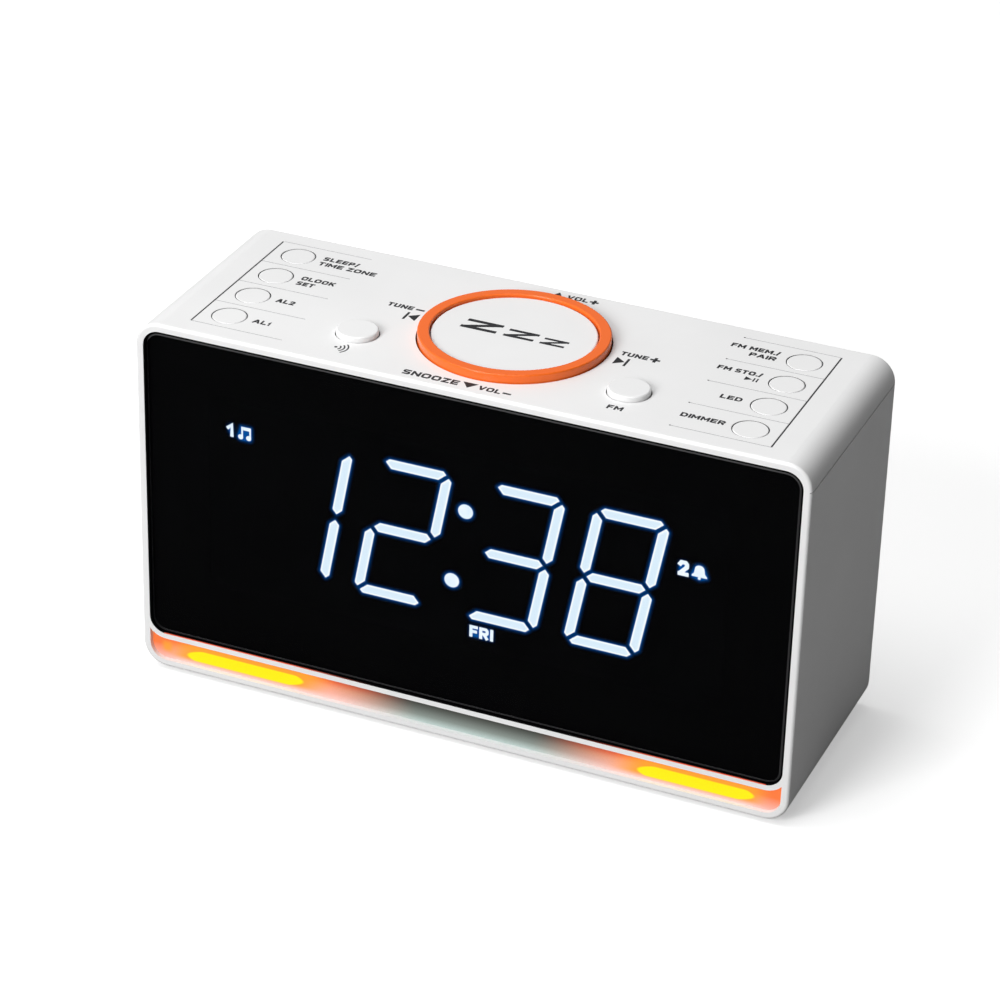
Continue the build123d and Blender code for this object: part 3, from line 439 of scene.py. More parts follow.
MATERIALS = {
    "white_plastic": moulded("white_plastic", (0.83, 0.83, 0.83), 0.40),
    "orange_plastic": moulded("orange_plastic", (0.90, 0.150, 0.014), 0.24, variation=0.04, specular=0.42),
    "dark_window": dark_window(),
    "milky_window": milky_window(),
    "led_lit": lit_resin(),
    "led_unlit": moulded("led_unlit", (0.010, 0.011, 0.013), 0.5),
    "strip_lamps": moulded("strip_lamps", (0.95, 0.72, 0.25), 0.3, grain=1500.0),
    "black_plastic": moulded("black_plastic", (0.012, 0.012, 0.013), 0.5, specular=0.35),
    "natural_plastic": moulded("natural_plastic", (0.66, 0.65, 0.60), 0.45, grain=1200.0),
    "soft_rubber": moulded("soft_rubber", (0.022, 0.022, 0.023), 0.8, grain=2200.0, depth=0.01 * MM,
                           specular=0.25),
    "foam": cellular("foam", (0.03, 0.03, 0.032), 2600.0, 0.95, 0.15 * MM),
    "circuit_board": circuit_board(),
    "plated_steel": plated("plated_steel", (0.68, 0.67, 0.64), 0.28),
    "black_steel": moulded("black_steel", (0.02, 0.02, 0.02), 0.35, grain=700.0, depth=0.01 * MM),
    "ferrite": cellular("ferrite", (0.06, 0.06, 0.063), 5200.0, 0.7, 0.03 * MM),
    "paper": cellular("paper", (0.045, 0.044, 0.042), 3200.0, 0.9, 0.05 * MM),
    "dust_cap": moulded("dust_cap", (0.03, 0.03, 0.032), 0.3, grain=900.0),
    "coil_former": banded("coil_former", ((0.30, 0.10, 0.03), (0.72, 0.34, 0.16)), 0.22 * MM, "Y", 0.3,
                          metallic=0.9),
    "capacitor_sleeve": moulded("capacitor_sleeve", (0.03, 0.035, 0.06), 0.35, grain=500.0),
    "cell_jacket": banded("cell_jacket", ((0.62, 0.60, 0.55), (0.05, 0.16, 0.10)), 22 * MM, "X", 0.35),
    "cable_jacket": banded("cable_jacket", ((0.20, 0.20, 0.21), (0.62, 0.62, 0.63)), 1.27 * MM, "X", 0.5),
}
# Black of the display and of the window mask; also the painted shade that fills the gap round the window.
DISPLAY_BLACK_AND_GAP_SHADE = moulded("display_black_and_gap_shade", (0.0012, 0.0012, 0.0014), 0.8, specular=0.02)
# Printed ink; also the painted shade at the ends of the hairlines.
INK_AND_SHADE = moulded("printed_ink_and_shade", (0.020, 0.021, 0.024), 0.55, grain=5000.0, variation=0.15, specular=0.3)
# Ink in the long grooves; also the painted shade in the key gaps and in the seam.
GROOVE_INK_AND_SHADE = moulded("groove_ink_and_shade", (0.045, 0.045, 0.048), 0.6, grain=5000.0, variation=0.1, specular=0.3)
PALE_INK = moulded("pale_ink", (0.33, 0.33, 0.34), 0.55, grain=5000.0, variation=0.1, specular=0.3)
SEGMENT_FACE = painted_glow("segment_face", 1.0 / LENS_PASSES, False)
SEGMENT_HALO = painted_glow("segment_halo", 1.0 / LENS_PASSES, True)
LEAK = leaking_light()

for node_name, node_object in NODES.items():
    node_object.data.materials.clear()
    node_object.data.materials.append(MATERIALS[SLOT_OF[node_name]])
NODES["display_reflector"].data.materials[0] = DISPLAY_BLACK_AND_GAP_SHADE
NODES["unlit_segments"].data.materials[0] = DISPLAY_BLACK_AND_GAP_SHADE


# ---------------------------------------------------------------- piece helpers
def piece(name, shape, finish, body):
    """Turns a bmesh into a piece that rides on a body."""
    mesh = bpy.data.meshes.new(name)
    shape.to_mesh(mesh)
    shape.free()
    made = bpy.data.objects.new(name, mesh)
    bpy.context.scene.collection.objects.link(made)
    made.data.materials.append(finish)
    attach(made, body)
    return made


def slab(shape, outline, low=0.0, high=PRINT_THICKNESS):
    """Adds a flat closed solid whose outline runs anticlockwise."""
    under = [shape.verts.new((u, v, low)) for u, v in outline]
    over = [shape.verts.new((u, v, high)) for u, v in outline]
    shape.faces.new(reversed(under))
    shape.faces.new(over)
    count = len(outline)
    for index in range(count):
        following = (index + 1) % count
        shape.faces.new((under[index], under[following], over[following], over[index]))


def rectangle(left, right, low, high):
    """The outline of a rectangle."""
    return [(left, low), (right, low), (right, high), (left, high)]


def polar(u, v, radius, turn):
    """The point at a radius and an angle from a middle."""
    return u + radius * math.cos(turn), v + radius * math.sin(turn)


def disc(u, v, radius, corners=20):
    """The outline of a round dot."""
    return [polar(u, v, radius, 2 * math.pi * index / corners) for index in range(corners)]


def rounded_rectangle(left, right, low, high, radius, steps=8):
    """The outline of a rectangle with round corners."""
    middles = [(left + radius, low + radius), (right - radius, low + radius),
               (right - radius, high - radius), (left + radius, high - radius)]
    points = []
    for quarter, (u, v) in enumerate(middles):
        for part in range(steps + 1):
            points.append(polar(u, v, radius, math.radians(180 + 90 * quarter + 90 * part / steps)))
    return points


def arc_band(u, v, radius, width, start, end, steps=14):
    """The outline of a thick arc between two angles in degrees."""
    turns = [math.radians(start + (end - start) * index / steps) for index in range(steps + 1)]
    outer = [polar(u, v, radius + width / 2, turn) for turn in turns]
    inner = [polar(u, v, radius - width / 2, turn) for turn in turns]
    return outer + inner[::-1]


# A bend's mitre grows no further once the half angle's cosine falls below this.
SHARPEST_MITRE = 0.62


def band(shape, points, width, low=0.0, high=PRINT_THICKNESS, closed=False):
    """Adds a flat stroke of even width along a line of points, with square ends."""
    line = [Vector(point) for point in points]
    if not closed:
        line[0] += (line[0] - line[1]).normalized() * width / 2
        line[-1] += (line[-1] - line[-2]).normalized() * width / 2
    count = len(line)
    rows = []
    for index, point in enumerate(line):
        behind = point - line[index - 1] if closed or index > 0 else line[1] - point
        ahead = line[(index + 1) % count] - point if closed or index < count - 1 else behind
        along = (ahead.normalized() + behind.normalized()).normalized()
        reach = width / 2 / max(along.dot(ahead.normalized()), SHARPEST_MITRE)
        side = Vector((-along.y, along.x)) * reach
        corners = ((point - side, low), (point + side, low), (point + side, high), (point - side, high))
        rows.append([shape.verts.new((*spot, level)) for spot, level in corners])
    for first, second in zip(rows, rows[1:] + rows[:1] if closed else rows[1:]):
        for corner in range(4):
            following = (corner + 1) % 4
            shape.faces.new((first[corner], first[following], second[following], second[corner]))
    if not closed:
        shape.faces.new(reversed(rows[0]))
        shape.faces.new(rows[-1])


# Stroke and gap, as parts of a capital's height.
STROKE = 0.25
LETTER_GAP = 0.17
# A wide bold alphabet: each letter's width, then the middle lines of its strokes in a unit square.
LETTERS = {
    " ": (0.35,),
    ".": (0.25, [(0.5, 0.0), (0.5, 0.01)]),
    "/": (0.62, [(0.1, -0.04), (0.9, 1.04)]),
    "1": (0.50, [(0.0, 0.70), (0.62, 1.0), (0.62, 0.0)]),
    "2": (0.95, [(0.0, 0.84), (0.2, 1.0), (0.8, 1.0), (1.0, 0.86), (1.0, 0.62), (0.1, 0.08)],
          [(0.0, 0.0), (1.0, 0.0)]),
    "A": (1.12, [(0.0, 0.0), (0.43, 1.0), (0.57, 1.0), (1.0, 0.0)], [(0.22, 0.28), (0.78, 0.28)]),
    "B": (1.05, [(0.75, 0.52), (0.0, 0.52), (0.0, 1.0), (0.82, 1.0), (0.96, 0.88), (0.96, 0.64), (0.82, 0.52),
                 (1.0, 0.38), (1.0, 0.13), (0.84, 0.0), (0.0, 0.0), (0.0, 0.45)]),
    "C": (1.08, [(1.0, 0.72), (1.0, 0.84), (0.82, 1.0), (0.18, 1.0), (0.0, 0.84), (0.0, 0.16), (0.18, 0.0),
                 (0.82, 0.0), (1.0, 0.16), (1.0, 0.28)]),
    "D": (1.08, [(0.1, 0.0), (0.0, 0.0), (0.0, 1.0), (0.72, 1.0), (1.0, 0.76), (1.0, 0.24), (0.72, 0.0),
                 (0.2, 0.0)]),
    "E": (0.98, [(1.0, 1.0), (0.0, 1.0), (0.0, 0.0), (1.0, 0.0)], [(0.15, 0.5), (0.88, 0.5)]),
    "F": (0.94, [(1.0, 1.0), (0.0, 1.0), (0.0, 0.0)], [(0.15, 0.48), (0.85, 0.48)]),
    "I": (0.25, [(0.5, 0.0), (0.5, 1.0)]),
    "K": (1.08, [(0.0, 0.0), (0.0, 1.0)], [(0.15, 0.42), (0.9, 1.0)], [(0.42, 0.55), (0.95, 0.0)]),
    "L": (0.92, [(0.0, 1.0), (0.0, 0.0), (1.0, 0.0)]),
    "M": (1.30, [(0.0, 0.0), (0.0, 1.0)], [(1.0, 0.0), (1.0, 1.0)], [(0.06, 0.96), (0.5, 0.3), (0.94, 0.96)]),
    "N": (1.12, [(0.0, 0.0), (0.0, 1.0)], [(1.0, 0.0), (1.0, 1.0)], [(0.06, 0.94), (0.94, 0.06)]),
    "O": (1.15, [(0.45, 1.0), (0.18, 1.0), (0.0, 0.82), (0.0, 0.18), (0.18, 0.0), (0.82, 0.0), (1.0, 0.18),
                 (1.0, 0.82), (0.82, 1.0), (0.55, 1.0)]),
    "P": (1.02, [(0.0, 0.0), (0.0, 1.0), (0.82, 1.0), (1.0, 0.86), (1.0, 0.56), (0.82, 0.42), (0.15, 0.42)]),
    "R": (1.06, [(0.0, 0.0), (0.0, 1.0), (0.82, 1.0), (1.0, 0.86), (1.0, 0.58), (0.82, 0.44), (0.15, 0.44)],
          [(0.55, 0.38), (0.92, 0.0)]),
    "S": (1.02, [(0.93, 1.0), (0.16, 1.0), (0.0, 0.87), (0.0, 0.66), (0.16, 0.53), (0.84, 0.47), (1.0, 0.34),
                 (1.0, 0.13), (0.84, 0.0), (0.07, 0.0)]),
    "T": (1.00, [(0.0, 1.0), (1.0, 1.0)], [(0.5, 0.0), (0.5, 0.9)]),
    "U": (1.10, [(0.0, 1.0), (0.0, 0.18), (0.18, 0.0), (0.82, 0.0), (1.0, 0.18), (1.0, 1.0)]),
    "V": (1.10, [(0.0, 1.0), (0.44, 0.0), (0.56, 0.0), (1.0, 1.0)]),
    "X": (1.08, [(0.05, 0.0), (0.95, 1.0)], [(0.05, 1.0), (0.95, 0.0)]),
    "Z": (1.02, [(0.0, 1.0), (1.0, 1.0)], [(0.9, 0.92), (0.1, 0.08)], [(0.0, 0.0), (1.0, 0.0)]),
}


def letter_strokes(words, left, right, low, capital, slant=0.0):
    """The middle lines of each letter's strokes, with the words spread from left to right."""
    widths = [LETTERS[letter][0] for letter in words]
    natural = sum(widths) + LETTER_GAP * (len(words) - 1)
    stretch = (right - left) / natural
    stroke = STROKE * capital
    strokes = []
    for letter, wide in zip(words, widths):
        span = max(wide * stretch - stroke, 0.0)
        lines = []
        for line in LETTERS[letter][1:]:
            places = [(left + stroke / 2 + u * span, stroke / 2 + v * (capital - stroke)) for u, v in line]
            lines.append([(x + slant * y, low + y) for x, y in places])
        strokes.append(lines)
        left += (wide + LETTER_GAP) * stretch
    return strokes


def write(shape, words, left, right, low, capital, slant=0.0):
    """Adds words between two limits across, the baseline at low."""
    for letter in letter_strokes(words, left, right, low, capital, slant):
        for index, line in enumerate(letter):
            band(shape, line, STROKE * capital, 0.0, PRINT_THICKNESS * (1 - 0.1 * index))


def from_front(y):
    """Y of a place on the top, given in millimetres from the front edge."""
    return FRONT_Y + y * MM


ON_TOP = Matrix.Translation((0, 0, TOP_Z))
ON_DISC = Matrix.Translation((0, 0, DISC_TOP_Z))


# ---------------------------------------------------------------- printing on the top
# Millimetres: the capitals, the columns' margins, the keys' middles, and distances from the front edge.
SMALL_CAPITAL = 1.85
LEFT_MARGIN, RIGHT_MARGIN = -56.1, 55.8
KEY_X, FIRST_KEY_Y, KEY_PITCH = 62.0, 11.05, 11.65
RAISED_KEY_X, RAISED_KEY_Y = 32.45, 15.6
HAIRLINE_START, HAIRLINE_END, FIRST_HAIRLINE_Y = 46.05, 68.45, 5.3
GROOVE_X = 68.7
SIDES = ((-1, "left"), (1, "right"))


def top_words(name, lines, capital=SMALL_CAPITAL):
    """Printed words on the top cover: each line is words, left, right and baseline, in millimetres."""
    shape = bmesh.new()
    for words, left, right, low in lines:
        write(shape, words, left * MM, right * MM, from_front(low), capital * MM)
    shape.transform(ON_TOP)
    piece(name, shape, INK_AND_SHADE, "casing")


def top_symbol(name, outlines):
    """A printed symbol on the top cover."""
    shape = bmesh.new()
    for outline in outlines:
        slab(shape, outline)
    shape.transform(ON_TOP)
    piece(name, shape, INK_AND_SHADE, "casing")


def triangle(left, right, low, high, pointing):
    """A solid arrow head that fills a box and points left, right, up or down."""
    across, up = (left + right) / 2, (low + high) / 2
    corners = {
        "right": [(left, low), (right, up), (left, high)],
        "left": [(right, low), (right, high), (left, up)],
        "up": [(left, low), (right, low), (across, high)],
        "down": [(left, high), (across, low), (right, high)],
    }
    return corners[pointing]


def sign(across, up, half, plus):
    """A minus sign, or with its second stroke a plus sign."""
    bar = 0.2 * half + 0.12 * MM
    strokes = [rectangle(across - half, across + half, up - bar, up + bar)]
    if plus:
        strokes.append(rectangle(across - bar, across + bar, up + bar, up + half))
        strokes.append(rectangle(across - bar, across + bar, up - half, up - bar))
    return strokes


top_words("label_sleep", [("SLEEP/", LEFT_MARGIN, -47.2, 46.6), ("TIME ZONE", LEFT_MARGIN, -41.6, 43.8)])
top_words("label_clock_set", [("CLOCK", LEFT_MARGIN, -47.7, 34.95), ("SET", LEFT_MARGIN, -51.7, 32.2)])
top_words("label_alarm_2", [("AL2", LEFT_MARGIN, -51.6, 22.0)])
top_words("label_alarm_1", [("AL1", LEFT_MARGIN, -51.7, 10.25)])
top_words("label_memory", [("FM MEM./", 44.4, RIGHT_MARGIN, 46.6), ("PAIR", 49.6, RIGHT_MARGIN, 43.8)])
top_words("label_play_pause", [("FM STO./", 45.4, RIGHT_MARGIN, 34.95)])
top_words("label_light", [("LED", 50.8, RIGHT_MARGIN, 22.0)])
top_words("label_dimmer", [("DIMMER", 46.1, 56.2, 10.25)])
top_words("label_fm", [("FM", 30.6, 34.2, 6.6)])
top_words("label_snooze", [("SNOOZE", -15.7, -2.4, 2.3)], capital=2.15)
top_words("label_volume_down", [("VOL", 2.3, 7.5, 2.5)])
top_words("label_volume_up", [("VOL", 2.3, 7.5, 52.75)])
top_words("label_tune_down", [("TUNE", -32.8, -26.5, 31.65)])
top_words("label_tune_up", [("TUNE", 23.9, 30.3, 31.65)])

top_symbol("sign_volume_down", sign(8.95 * MM, from_front(3.3), 0.95 * MM, False))
top_symbol("sign_volume_up", sign(8.95 * MM, from_front(53.6), 1.05 * MM, True))
top_symbol("sign_tune_down", sign(-24.8 * MM, from_front(32.5), 1.05 * MM, False))
top_symbol("sign_tune_up", sign(31.95 * MM, from_front(32.5), 1.15 * MM, True))
top_symbol("arrow_down", [triangle(-1.8 * MM, 1.8 * MM, from_front(2.2), from_front(4.6), "down")])
top_symbol("arrow_up", [triangle(-1.66 * MM, 1.66 * MM, from_front(52.3), from_front(55.0), "up")])
top_symbol("previous_mark", [
    triangle(-26.1 * MM, -23.8 * MM, from_front(26.9), from_front(30.4), "left"),
    rectangle(-26.85 * MM, -26.28 * MM, from_front(26.8), from_front(30.5)),
])
top_symbol("next_mark", [
    triangle(23.9 * MM, 26.2 * MM, from_front(26.9), from_front(30.4), "right"),
    rectangle(26.38 * MM, 26.95 * MM, from_front(26.8), from_front(30.5)),
])
top_symbol("play_pause_mark", [
    triangle(52.7 * MM, 54.4 * MM, from_front(32.25), from_front(34.0), "right"),
    rectangle(54.6 * MM, 54.95 * MM, from_front(32.25), from_front(34.0)),
    rectangle(55.35 * MM, 55.7 * MM, from_front(32.25), from_front(34.0)),
])
WAVES_X = -33.9 * MM
WAVES_Y = from_front(7.5)
top_symbol("wireless_mark", [disc(WAVES_X, WAVES_Y, 0.36 * MM)] + [
    arc_band(WAVES_X, WAVES_Y, radius * MM, 0.34 * MM, -48, 48) for radius in (1.1, 1.95, 2.8)
])


def groove_inlays():
    """Dark paint in the long grooves, pale paint in the hairlines, and dots of painted shade where the
    right-hand ones end.
    """
    start = from_front(FIRST_HAIRLINE_Y + 0.01)
    end = from_front(FIRST_HAIRLINE_Y + 4 * KEY_PITCH - 0.01)
    rows = [from_front(FIRST_HAIRLINE_Y + row * KEY_PITCH) for row in range(5)]
    for side, name in SIDES:
        shape = bmesh.new()
        groove_x = GROOVE_X * side * MM
        outline = rectangle(groove_x - 0.195 * MM, groove_x + 0.195 * MM, start, end)
        slab(shape, outline, -0.29 * MM, -0.06 * MM)
        shape.transform(ON_TOP)
        piece("groove_paint_" + name, shape, GROOVE_INK_AND_SHADE, "casing")
        shape = bmesh.new()
        left, right = sorted((HAIRLINE_START * side * MM, HAIRLINE_END * side * MM))
        for y in rows:
            slab(shape, rectangle(left, right, y - 0.1 * MM, y + 0.1 * MM), -0.115 * MM, -0.02 * MM)
        shape.transform(ON_TOP)
        piece("hairline_paint_" + name, shape, PALE_INK, "casing")
    # Painted shade: dark dots where the right-hand hairline grooves end.
    shape = bmesh.new()
    for y in rows:
        slab(shape, disc((HAIRLINE_START - 0.2) * MM, y, 0.2 * MM, 12))
    shape.transform(ON_TOP)
    piece("hairline_end_shade", shape, INK_AND_SHADE, "casing")


def key_shadows():
    """Painted shade: dark bands low in the round gaps of the keys and of the ring, where the gaps fall into
    shade.
    """
    # Each is its middle across and from the front, then the band's radius, width and top, in millimetres.
    gaps = []
    for side, _ in SIDES:
        gaps.append((RAISED_KEY_X * side, RAISED_KEY_Y, 4.925, 0.20, -0.25))
        for row in range(4):
            gaps.append((KEY_X * side, FIRST_KEY_Y + KEY_PITCH * row, 4.025, 0.19, -0.10))
    shape = bmesh.new()
    for across, back, radius, width, high in gaps:
        outline = disc(across * MM, from_front(back), radius * MM, 48)
        band(shape, outline, width * MM, -0.6 * MM, high * MM, True)
    ring = disc(0.0, middle("ring_base").y, 21.93 * MM, 96)
    band(shape, ring, 0.10 * MM, -1.0 * MM, -0.3 * MM, True)
    shape.transform(ON_TOP)
    piece("key_gap_shade", shape, GROOVE_INK_AND_SHADE, "casing")


def painted_seam_shade():
    """Painted shade: dark paint in the seam between the cover and the housing, on both sides, standing in for
    the seam's shade.
    """
    seam_z = TOP_Z - 5.85 * MM
    inner_x, outer_x = 79.52 * MM, 79.88 * MM
    for side, name in SIDES:
        shape = bmesh.new()
        left, right = sorted((side * inner_x, side * outer_x))
        outline = rectangle(left, right, FRONT_Y + 1.0 * MM, COVER_HIGH.y - 0.8 * MM)
        slab(shape, outline, seam_z - 0.235 * MM, seam_z - 0.015 * MM)
        piece("seam_shade_" + name, shape, GROOVE_INK_AND_SHADE, "casing")


def snooze_symbol():
    """Three slanted Zs on the snooze key, the usual sign for a short sleep."""
    shape = bmesh.new()
    for left, width, capital in ((-12.6, 8.6, 4.6), (-2.2, 7.2, 3.9), (6.6, 5.8, 3.2)):
        write(shape, "Z", left * MM, (left + width) * MM, -1.9 * MM, capital * MM, slant=0.12)
    shape.transform(ON_DISC)
    piece("snooze_symbol", shape, INK_AND_SHADE, "snooze_key")


groove_inlays()
key_shadows()
painted_seam_shade()
snooze_symbol()


# ---------------------------------------------------------------- the display behind the window
def hull(points):
    """The convex outline of a solid's front, anticlockwise, as X and Z."""
    flat = sorted({(round(point.x, 7), round(point.z, 7)) for point in points})
    outline = []
    for run in (flat, flat[::-1]):
        start = len(outline)
        for point in run:
            while len(outline) - start >= 2:
                (ax, az), (bx, bz) = outline[-2], outline[-1]
                if (bx - ax) * (point[1] - az) - (bz - az) * (point[0] - ax) > 1e-12:
                    break
                outline.pop()
            outline.append(point)
        outline.pop()
    return [Vector(point) for point in outline]


def outward(outline, index):
    """The outward direction of the edge that leaves a corner."""
    along = outline[(index + 1) % len(outline)] - outline[index]
    return Vector((along.y, -along.x)).normalized()


def rounded_offset(outline, distance, steps=4):
    """An outline moved outwards, with arcs round its corners."""
    points = []
    for index, corner in enumerate(outline):
        before = outward(outline, index - 1)
        after = outward(outline, index)
        bend = before.angle_signed(after, 0.0)
        for part in range(steps + 1):
            turned = before.copy()
            turned.rotate(Matrix.Rotation(-bend * part / steps, 2))
            points.append(corner + turned * distance)
    return points


def mitred_inset(outline, distance):
    """An outline moved inwards, with sharp corners."""
    points = []
    for index, corner in enumerate(outline):
        before = outward(outline, index - 1)
        after = outward(outline, index)
        points.append(corner - (before + after) * distance / (1 + before.dot(after)))
    return points


def paint_ring(shape, layer, outline, y, colour):
    """A ring of painted points."""
    ring = []
    for point in outline:
        vert = shape.verts.new((point.x, y, point.y))
        vert[layer] = colour
        ring.append(vert)
    return ring


def bridge(shape, inner, outer):
    """Faces between two rings of the same count, facing the front."""
    count = len(inner)
    for index in range(count):
        following = (index + 1) % count
        shape.faces.new((inner[index], outer[index], outer[following], inner[following]))


# The glow's distance in millimetres and its strength there. Each glow lies a little in front of the last.
HALO_STEPS = ((0.03, 0.85), (0.14, 0.66), (0.28, 0.36), (0.46, 0.15), (0.72, 0.05), (1.05, 0.0))
HALO_COLOUR = (0.0, 0.085, 0.36)
HALO_SPACING = 0.0005 * MM
SYMBOL_LEVEL = 20
FACE_Y = REFLECTOR_LOW.y - 0.03 * MM
HALO_Y = REFLECTOR_LOW.y - 0.02 * MM
RIM_COLOUR = (0.93, 0.98, 1.0, 1.0)
CORE_COLOUR = (0.70, 0.85, 0.97, 1.0)


def halo(shape, layer, outline, level, filled=False):
    """The blue glow round one lit shape, and behind it too if filled."""
    y = HALO_Y - level * HALO_SPACING
    rings = []
    for distance, strength in HALO_STEPS:
        spread = rounded_offset(outline, distance * MM)
        rings.append(paint_ring(shape, layer, spread, y, (*HALO_COLOUR, strength)))
    for inner, outer in zip(rings, rings[1:]):
        bridge(shape, inner, outer)
    if filled:
        shape.faces.new(rings[0])


def segment_faces():
    """The front of each lit segment: a bright bevelled rim round a slightly bluer field."""
    shape = bmesh.new()
    layer = shape.verts.layers.float_color.new("glow")
    for points in islands("lit_segments"):
        outline = hull(points)
        back = paint_ring(shape, layer, outline, REFLECTOR_LOW.y + 0.05 * MM, RIM_COLOUR)
        edge = paint_ring(shape, layer, mitred_inset(outline, 0.02 * MM), FACE_Y + 0.02 * MM, RIM_COLOUR)
        rim = paint_ring(shape, layer, mitred_inset(outline, 0.28 * MM), FACE_Y, RIM_COLOUR)
        field = paint_ring(shape, layer, mitred_inset(outline, 0.55 * MM), FACE_Y, CORE_COLOUR)
        bridge(shape, edge, back)
        bridge(shape, rim, edge)
        bridge(shape, field, rim)
        shape.faces.new(field)
        shape.faces.new(reversed(back))
    piece("segment_faces", shape, SEGMENT_FACE, "casing")


def display_halo():
    """Glow round the segments and the dots."""
    shape = bmesh.new()
    layer = shape.verts.layers.float_color.new("glow")
    for level, points in enumerate(islands("lit_segments") + islands("colon_dots")):
        halo(shape, layer, hull(points), level)
    piece("display_halo", shape, SEGMENT_HALO, "casing")


def window_mask():
    """Black printing on the back of the window, open over the display."""
    shape = bmesh.new()
    layer = shape.verts.layers.float_color.new("glow")
    inset, opening, radius = 0.02 * MM, 1.5 * MM, 3.6 * MM
    front = LENS_HIGH.y - 0.02 * MM
    back = front + 0.015 * MM
    outer = rounded_rectangle(LENS_LOW.x + inset, LENS_HIGH.x - inset,
                              LENS_LOW.z + inset, LENS_HIGH.z - inset, radius)
    inner = rounded_rectangle(REFLECTOR_LOW.x + opening, REFLECTOR_HIGH.x - opening,
                              REFLECTOR_LOW.z + opening, REFLECTOR_HIGH.z - opening, radius)
    rings = []
    for outline, y in ((inner, front), (outer, front), (outer, back), (inner, back)):
        rings.append(paint_ring(shape, layer, [Vector(point) for point in outline], y, (0, 0, 0, 1)))
    for ring, following in zip(rings, rings[1:] + rings[:1]):
        bridge(shape, ring, following)
    piece("window_mask", shape, DISPLAY_BLACK_AND_GAP_SHADE, "casing")


segment_faces()
display_halo()
window_mask()


# ---------------------------------------------------------------- symbols in the display
UPRIGHT = Matrix.Rotation(math.pi / 2, 4, "X")


def display_symbol(name, shape, outlines):
    """A lit symbol just in front of the display's face, with its glow."""
    shape.transform(Matrix.Translation((0, FACE_Y, 0)) @ UPRIGHT)
    made = piece(name, shape, MATERIALS["led_lit"], "casing")
    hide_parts("icon_windows")
    glow = bmesh.new()
    layer = glow.verts.layers.float_color.new("glow")
    for level, points in enumerate(outlines):
        outline = hull([Vector((u, 0.0, v)) for u, v in points])
        halo(glow, layer, outline, SYMBOL_LEVEL + 2 * level, filled=True)
    piece(name + "_glow", glow, SEGMENT_HALO, "casing")


def symbol_box(points):
    """Left, right, low and high of a light block, a margin inside its edges."""
    across = [point.x for point in points]
    up = [point.z for point in points]
    margin = 0.3 * MM
    return min(across) + margin, max(across) - margin, min(up) + margin, max(up) - margin


def note(left, low, size):
    """Two quavers joined by a beam, as outlines."""
    stem = 0.13 * size
    first, second = left + 0.38 * size, left + 1.02 * size
    return [
        disc(left + 0.19 * size, low + 0.16 * size, 0.20 * size),
        disc(left + 0.83 * size, low + 0.16 * size, 0.20 * size),
        rectangle(first - stem, first, low + 0.16 * size, low + 0.8 * size),
        rectangle(second - stem, second, low + 0.16 * size, low + 0.8 * size),
        rectangle(first - stem, second, low + 0.74 * size, low + 1.0 * size),
    ]


def bell(left, low, size):
    """A small bell with a flared mouth and a clapper, as outlines."""
    middle_x = left + size / 2
    side = [(0.50, 0.16), (0.50, 0.26), (0.36, 0.42), (0.31, 0.72)]
    turns = [math.radians(angle) for angle in range(15, 180, 15)]
    crown = [(0.31 * math.cos(turn), 0.72 + 0.26 * math.sin(turn)) for turn in turns]
    outline = side + crown + [(-u, v) for u, v in side[::-1]]
    body = [(middle_x + u * size, low + v * size) for u, v in outline]
    return [body, disc(middle_x, low + 0.08 * size, 0.1 * size, 12)]


def corners_of(outlines):
    """All the points of several outlines."""
    return [point for outline in outlines for point in outline]


def display_symbols():
    """The two alarm marks and the weekday."""
    first, weekday, second = (symbol_box(points) for points in islands("icon_windows"))
    alarms = (("alarm_1_mark", first, "1", note), ("alarm_2_mark", second, "2", bell))
    for name, (left, _, low, high), number, mark in alarms:
        shape = bmesh.new()
        tall = high - low
        outlines = mark(left + 0.85 * tall, low, 0.92 * tall)
        write(shape, number, left, left + 0.66 * tall, low, tall)
        for outline in outlines:
            slab(shape, outline)
        digit = letter_strokes(number, left, left + 0.66 * tall, low, tall)
        display_symbol(name, shape, [corners_of(digit[0]), corners_of(outlines)])
    left, right, low, high = weekday
    shape = bmesh.new()
    write(shape, "FRI", left, right, low, high - low)
    letters = letter_strokes("FRI", left, right, low, high - low)
    display_symbol("weekday_mark", shape, [corners_of(corners_of(letters))])


display_symbols()


# ---------------------------------------------------------------- light at the window's lower edge
def window_gap_shade():
    """Painted shade: a black band that fills the gap between the frame and the window, standing in for the
    gap's shade.
    """
    shape = bmesh.new()
    half = 0.225 * MM
    rim = rounded_rectangle(LENS_LOW.x - half, LENS_HIGH.x + half, LENS_LOW.z - half, LENS_HIGH.z + half,
                            4.1 * MM - half)
    band(shape, rim, 0.41 * MM, -LENS_HIGH.y + 0.05 * MM, -FRONT_Y - 0.06 * MM, True)
    shape.transform(UPRIGHT)
    piece("window_gap_shade", shape, DISPLAY_BLACK_AND_GAP_SHADE, "casing")


def gap_leak():
    """A hair of leaked light along the bottom of the black gap band."""
    shape = bmesh.new()
    low = LENS_LOW.z - 0.43 * MM
    end = LENS_HIGH.x - 3.2 * MM
    slab(shape, rectangle(-end, end, low, low + 0.24 * MM), -FRONT_Y - 0.059 * MM, -FRONT_Y - 0.03 * MM)
    shape.transform(UPRIGHT)
    piece("gap_leak", shape, LEAK, "casing")


window_gap_shade()
gap_leak()


# ---------------------------------------------------------------- printing on the back
def rear_words(name, words, node, wide):
    """Small printed words above a socket, read from behind."""
    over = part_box(node)[1].z + 2.0 * MM
    across = -middle(node).x
    shape = bmesh.new()
    write(shape, words, across - wide / 2 * MM, across + wide / 2 * MM, over, 1.9 * MM)
    turned = Matrix.Rotation(math.pi, 4, "Z") @ UPRIGHT
    shape.transform(Matrix.Translation((0, REAR_Y, 0)) @ turned)
    piece(name, shape, INK_AND_SHADE, "casing")


rear_words("label_power", "DC IN", "power_socket", 8.0)
rear_words("label_charge", "USB OUT", "usb_socket", 12.5)
rear_words("label_audio", "AUX", "audio_socket", 6.0)
rear_words("label_antenna", "ANT", "antenna_grommet", 6.0)


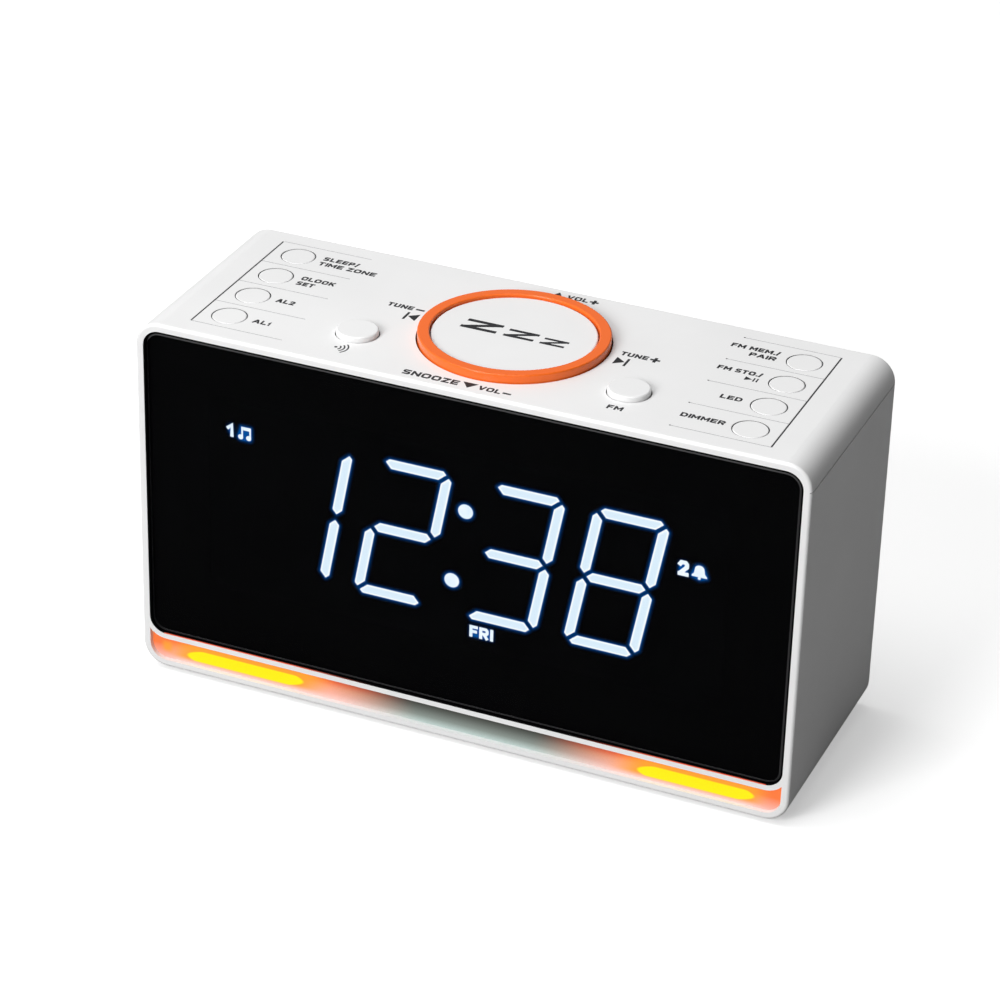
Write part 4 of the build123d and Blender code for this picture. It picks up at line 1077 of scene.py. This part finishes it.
# ---------------------------------------------------------------- stage
def floor():
    """A pale floor. It looks white, and throws little light back, so the radio's sides keep their shade."""
    mesh = bpy.data.meshes.new("floor")
    shape = bmesh.new()
    bmesh.ops.create_grid(shape, x_segments=1, y_segments=1, size=6.0)
    shape.to_mesh(mesh)
    shape.free()
    made = bpy.data.objects.new("floor", mesh)
    bpy.context.scene.collection.objects.link(made)
    made.location.z = FLOOR_Z
    finish, tree, shader = material("floor")
    seen = add(tree, "ShaderNodeLightPath").outputs["Is Camera Ray"]
    tree.links.new(mix(tree, seen, (0.30, 0.30, 0.30), (0.80, 0.80, 0.80)), shader.inputs["Base Color"])
    tree.links.new(calc(tree, "MULTIPLY", seen, 0.42), shader.inputs["Emission Strength"])
    shader.inputs["Emission Color"].default_value = (1, 1, 1, 1)
    shader.inputs["Roughness"].default_value = 0.95
    shader.inputs["Specular IOR Level"].default_value = 0.0
    made.data.materials.append(finish)


def studio():
    """White behind the radio, dim light from all round, dimmest from the right."""
    world = bpy.data.worlds.new("studio")
    bpy.context.scene.world = world
    world.use_nodes = True
    tree = world.node_tree
    background = tree.nodes["Background"]
    seen = add(tree, "ShaderNodeLightPath").outputs["Is Camera Ray"]
    split = add(tree, "ShaderNodeSeparateXYZ")
    tree.links.new(add(tree, "ShaderNodeTexCoord").outputs["Generated"], split.inputs[0])
    side = step(tree, split.outputs[0], 0.9, -0.9)
    around = scaled(tree, side, 0.075, 0.42)
    strength = calc(tree, "ADD", calc(tree, "MULTIPLY", around, calc(tree, "SUBTRACT", 1.0, seen)), seen)
    tree.links.new(strength, background.inputs["Strength"])
    background.inputs["Color"].default_value = (1, 1, 1, 1)


def softbox(name, spot, aim, size, power):
    """A square softbox at a spot in metres, aimed at a point."""
    data = bpy.data.lights.new(name, "AREA")
    data.shape = "SQUARE"
    data.size = size
    data.energy = power
    lamp = bpy.data.objects.new(name, data)
    bpy.context.scene.collection.objects.link(lamp)
    lamp.location = spot
    lamp.rotation_euler = (Vector(aim) - Vector(spot)).to_track_quat("-Z", "Y").to_euler()


def camera():
    """The camera, on a standard long lens."""
    data = bpy.data.cameras.new("camera")
    made = bpy.data.objects.new("camera", data)
    bpy.context.scene.collection.objects.link(made)
    bpy.context.scene.camera = made
    data.sensor_width = 36.0
    data.lens = 129.45
    data.clip_start = 0.05
    data.clip_end = 30.0
    aim = Vector((-2.375, 0.0, 48.816)) * MM
    distance = 0.81940
    azimuth, elevation, roll = (math.radians(angle) for angle in (22.580, 28.920, 1.614))
    turn = Matrix.Rotation(azimuth, 4, "Z") @ Matrix.Rotation(math.pi / 2 - elevation, 4, "X")
    turn = turn @ Matrix.Rotation(roll, 4, "Z")
    made.matrix_world = Matrix.Translation(aim) @ turn @ Matrix.Translation((0, 0, distance))


floor()
studio()
softbox("overhead", (-0.28, -0.15, 1.2), (0.0, 0.0, 0.05), 0.9, 8.5)
softbox("front", (-0.40, -1.3, 0.75), (0.0, 0.0, 0.05), 0.6, 18.0)
camera()
bpy.context.scene.view_settings.view_transform = "Standard"
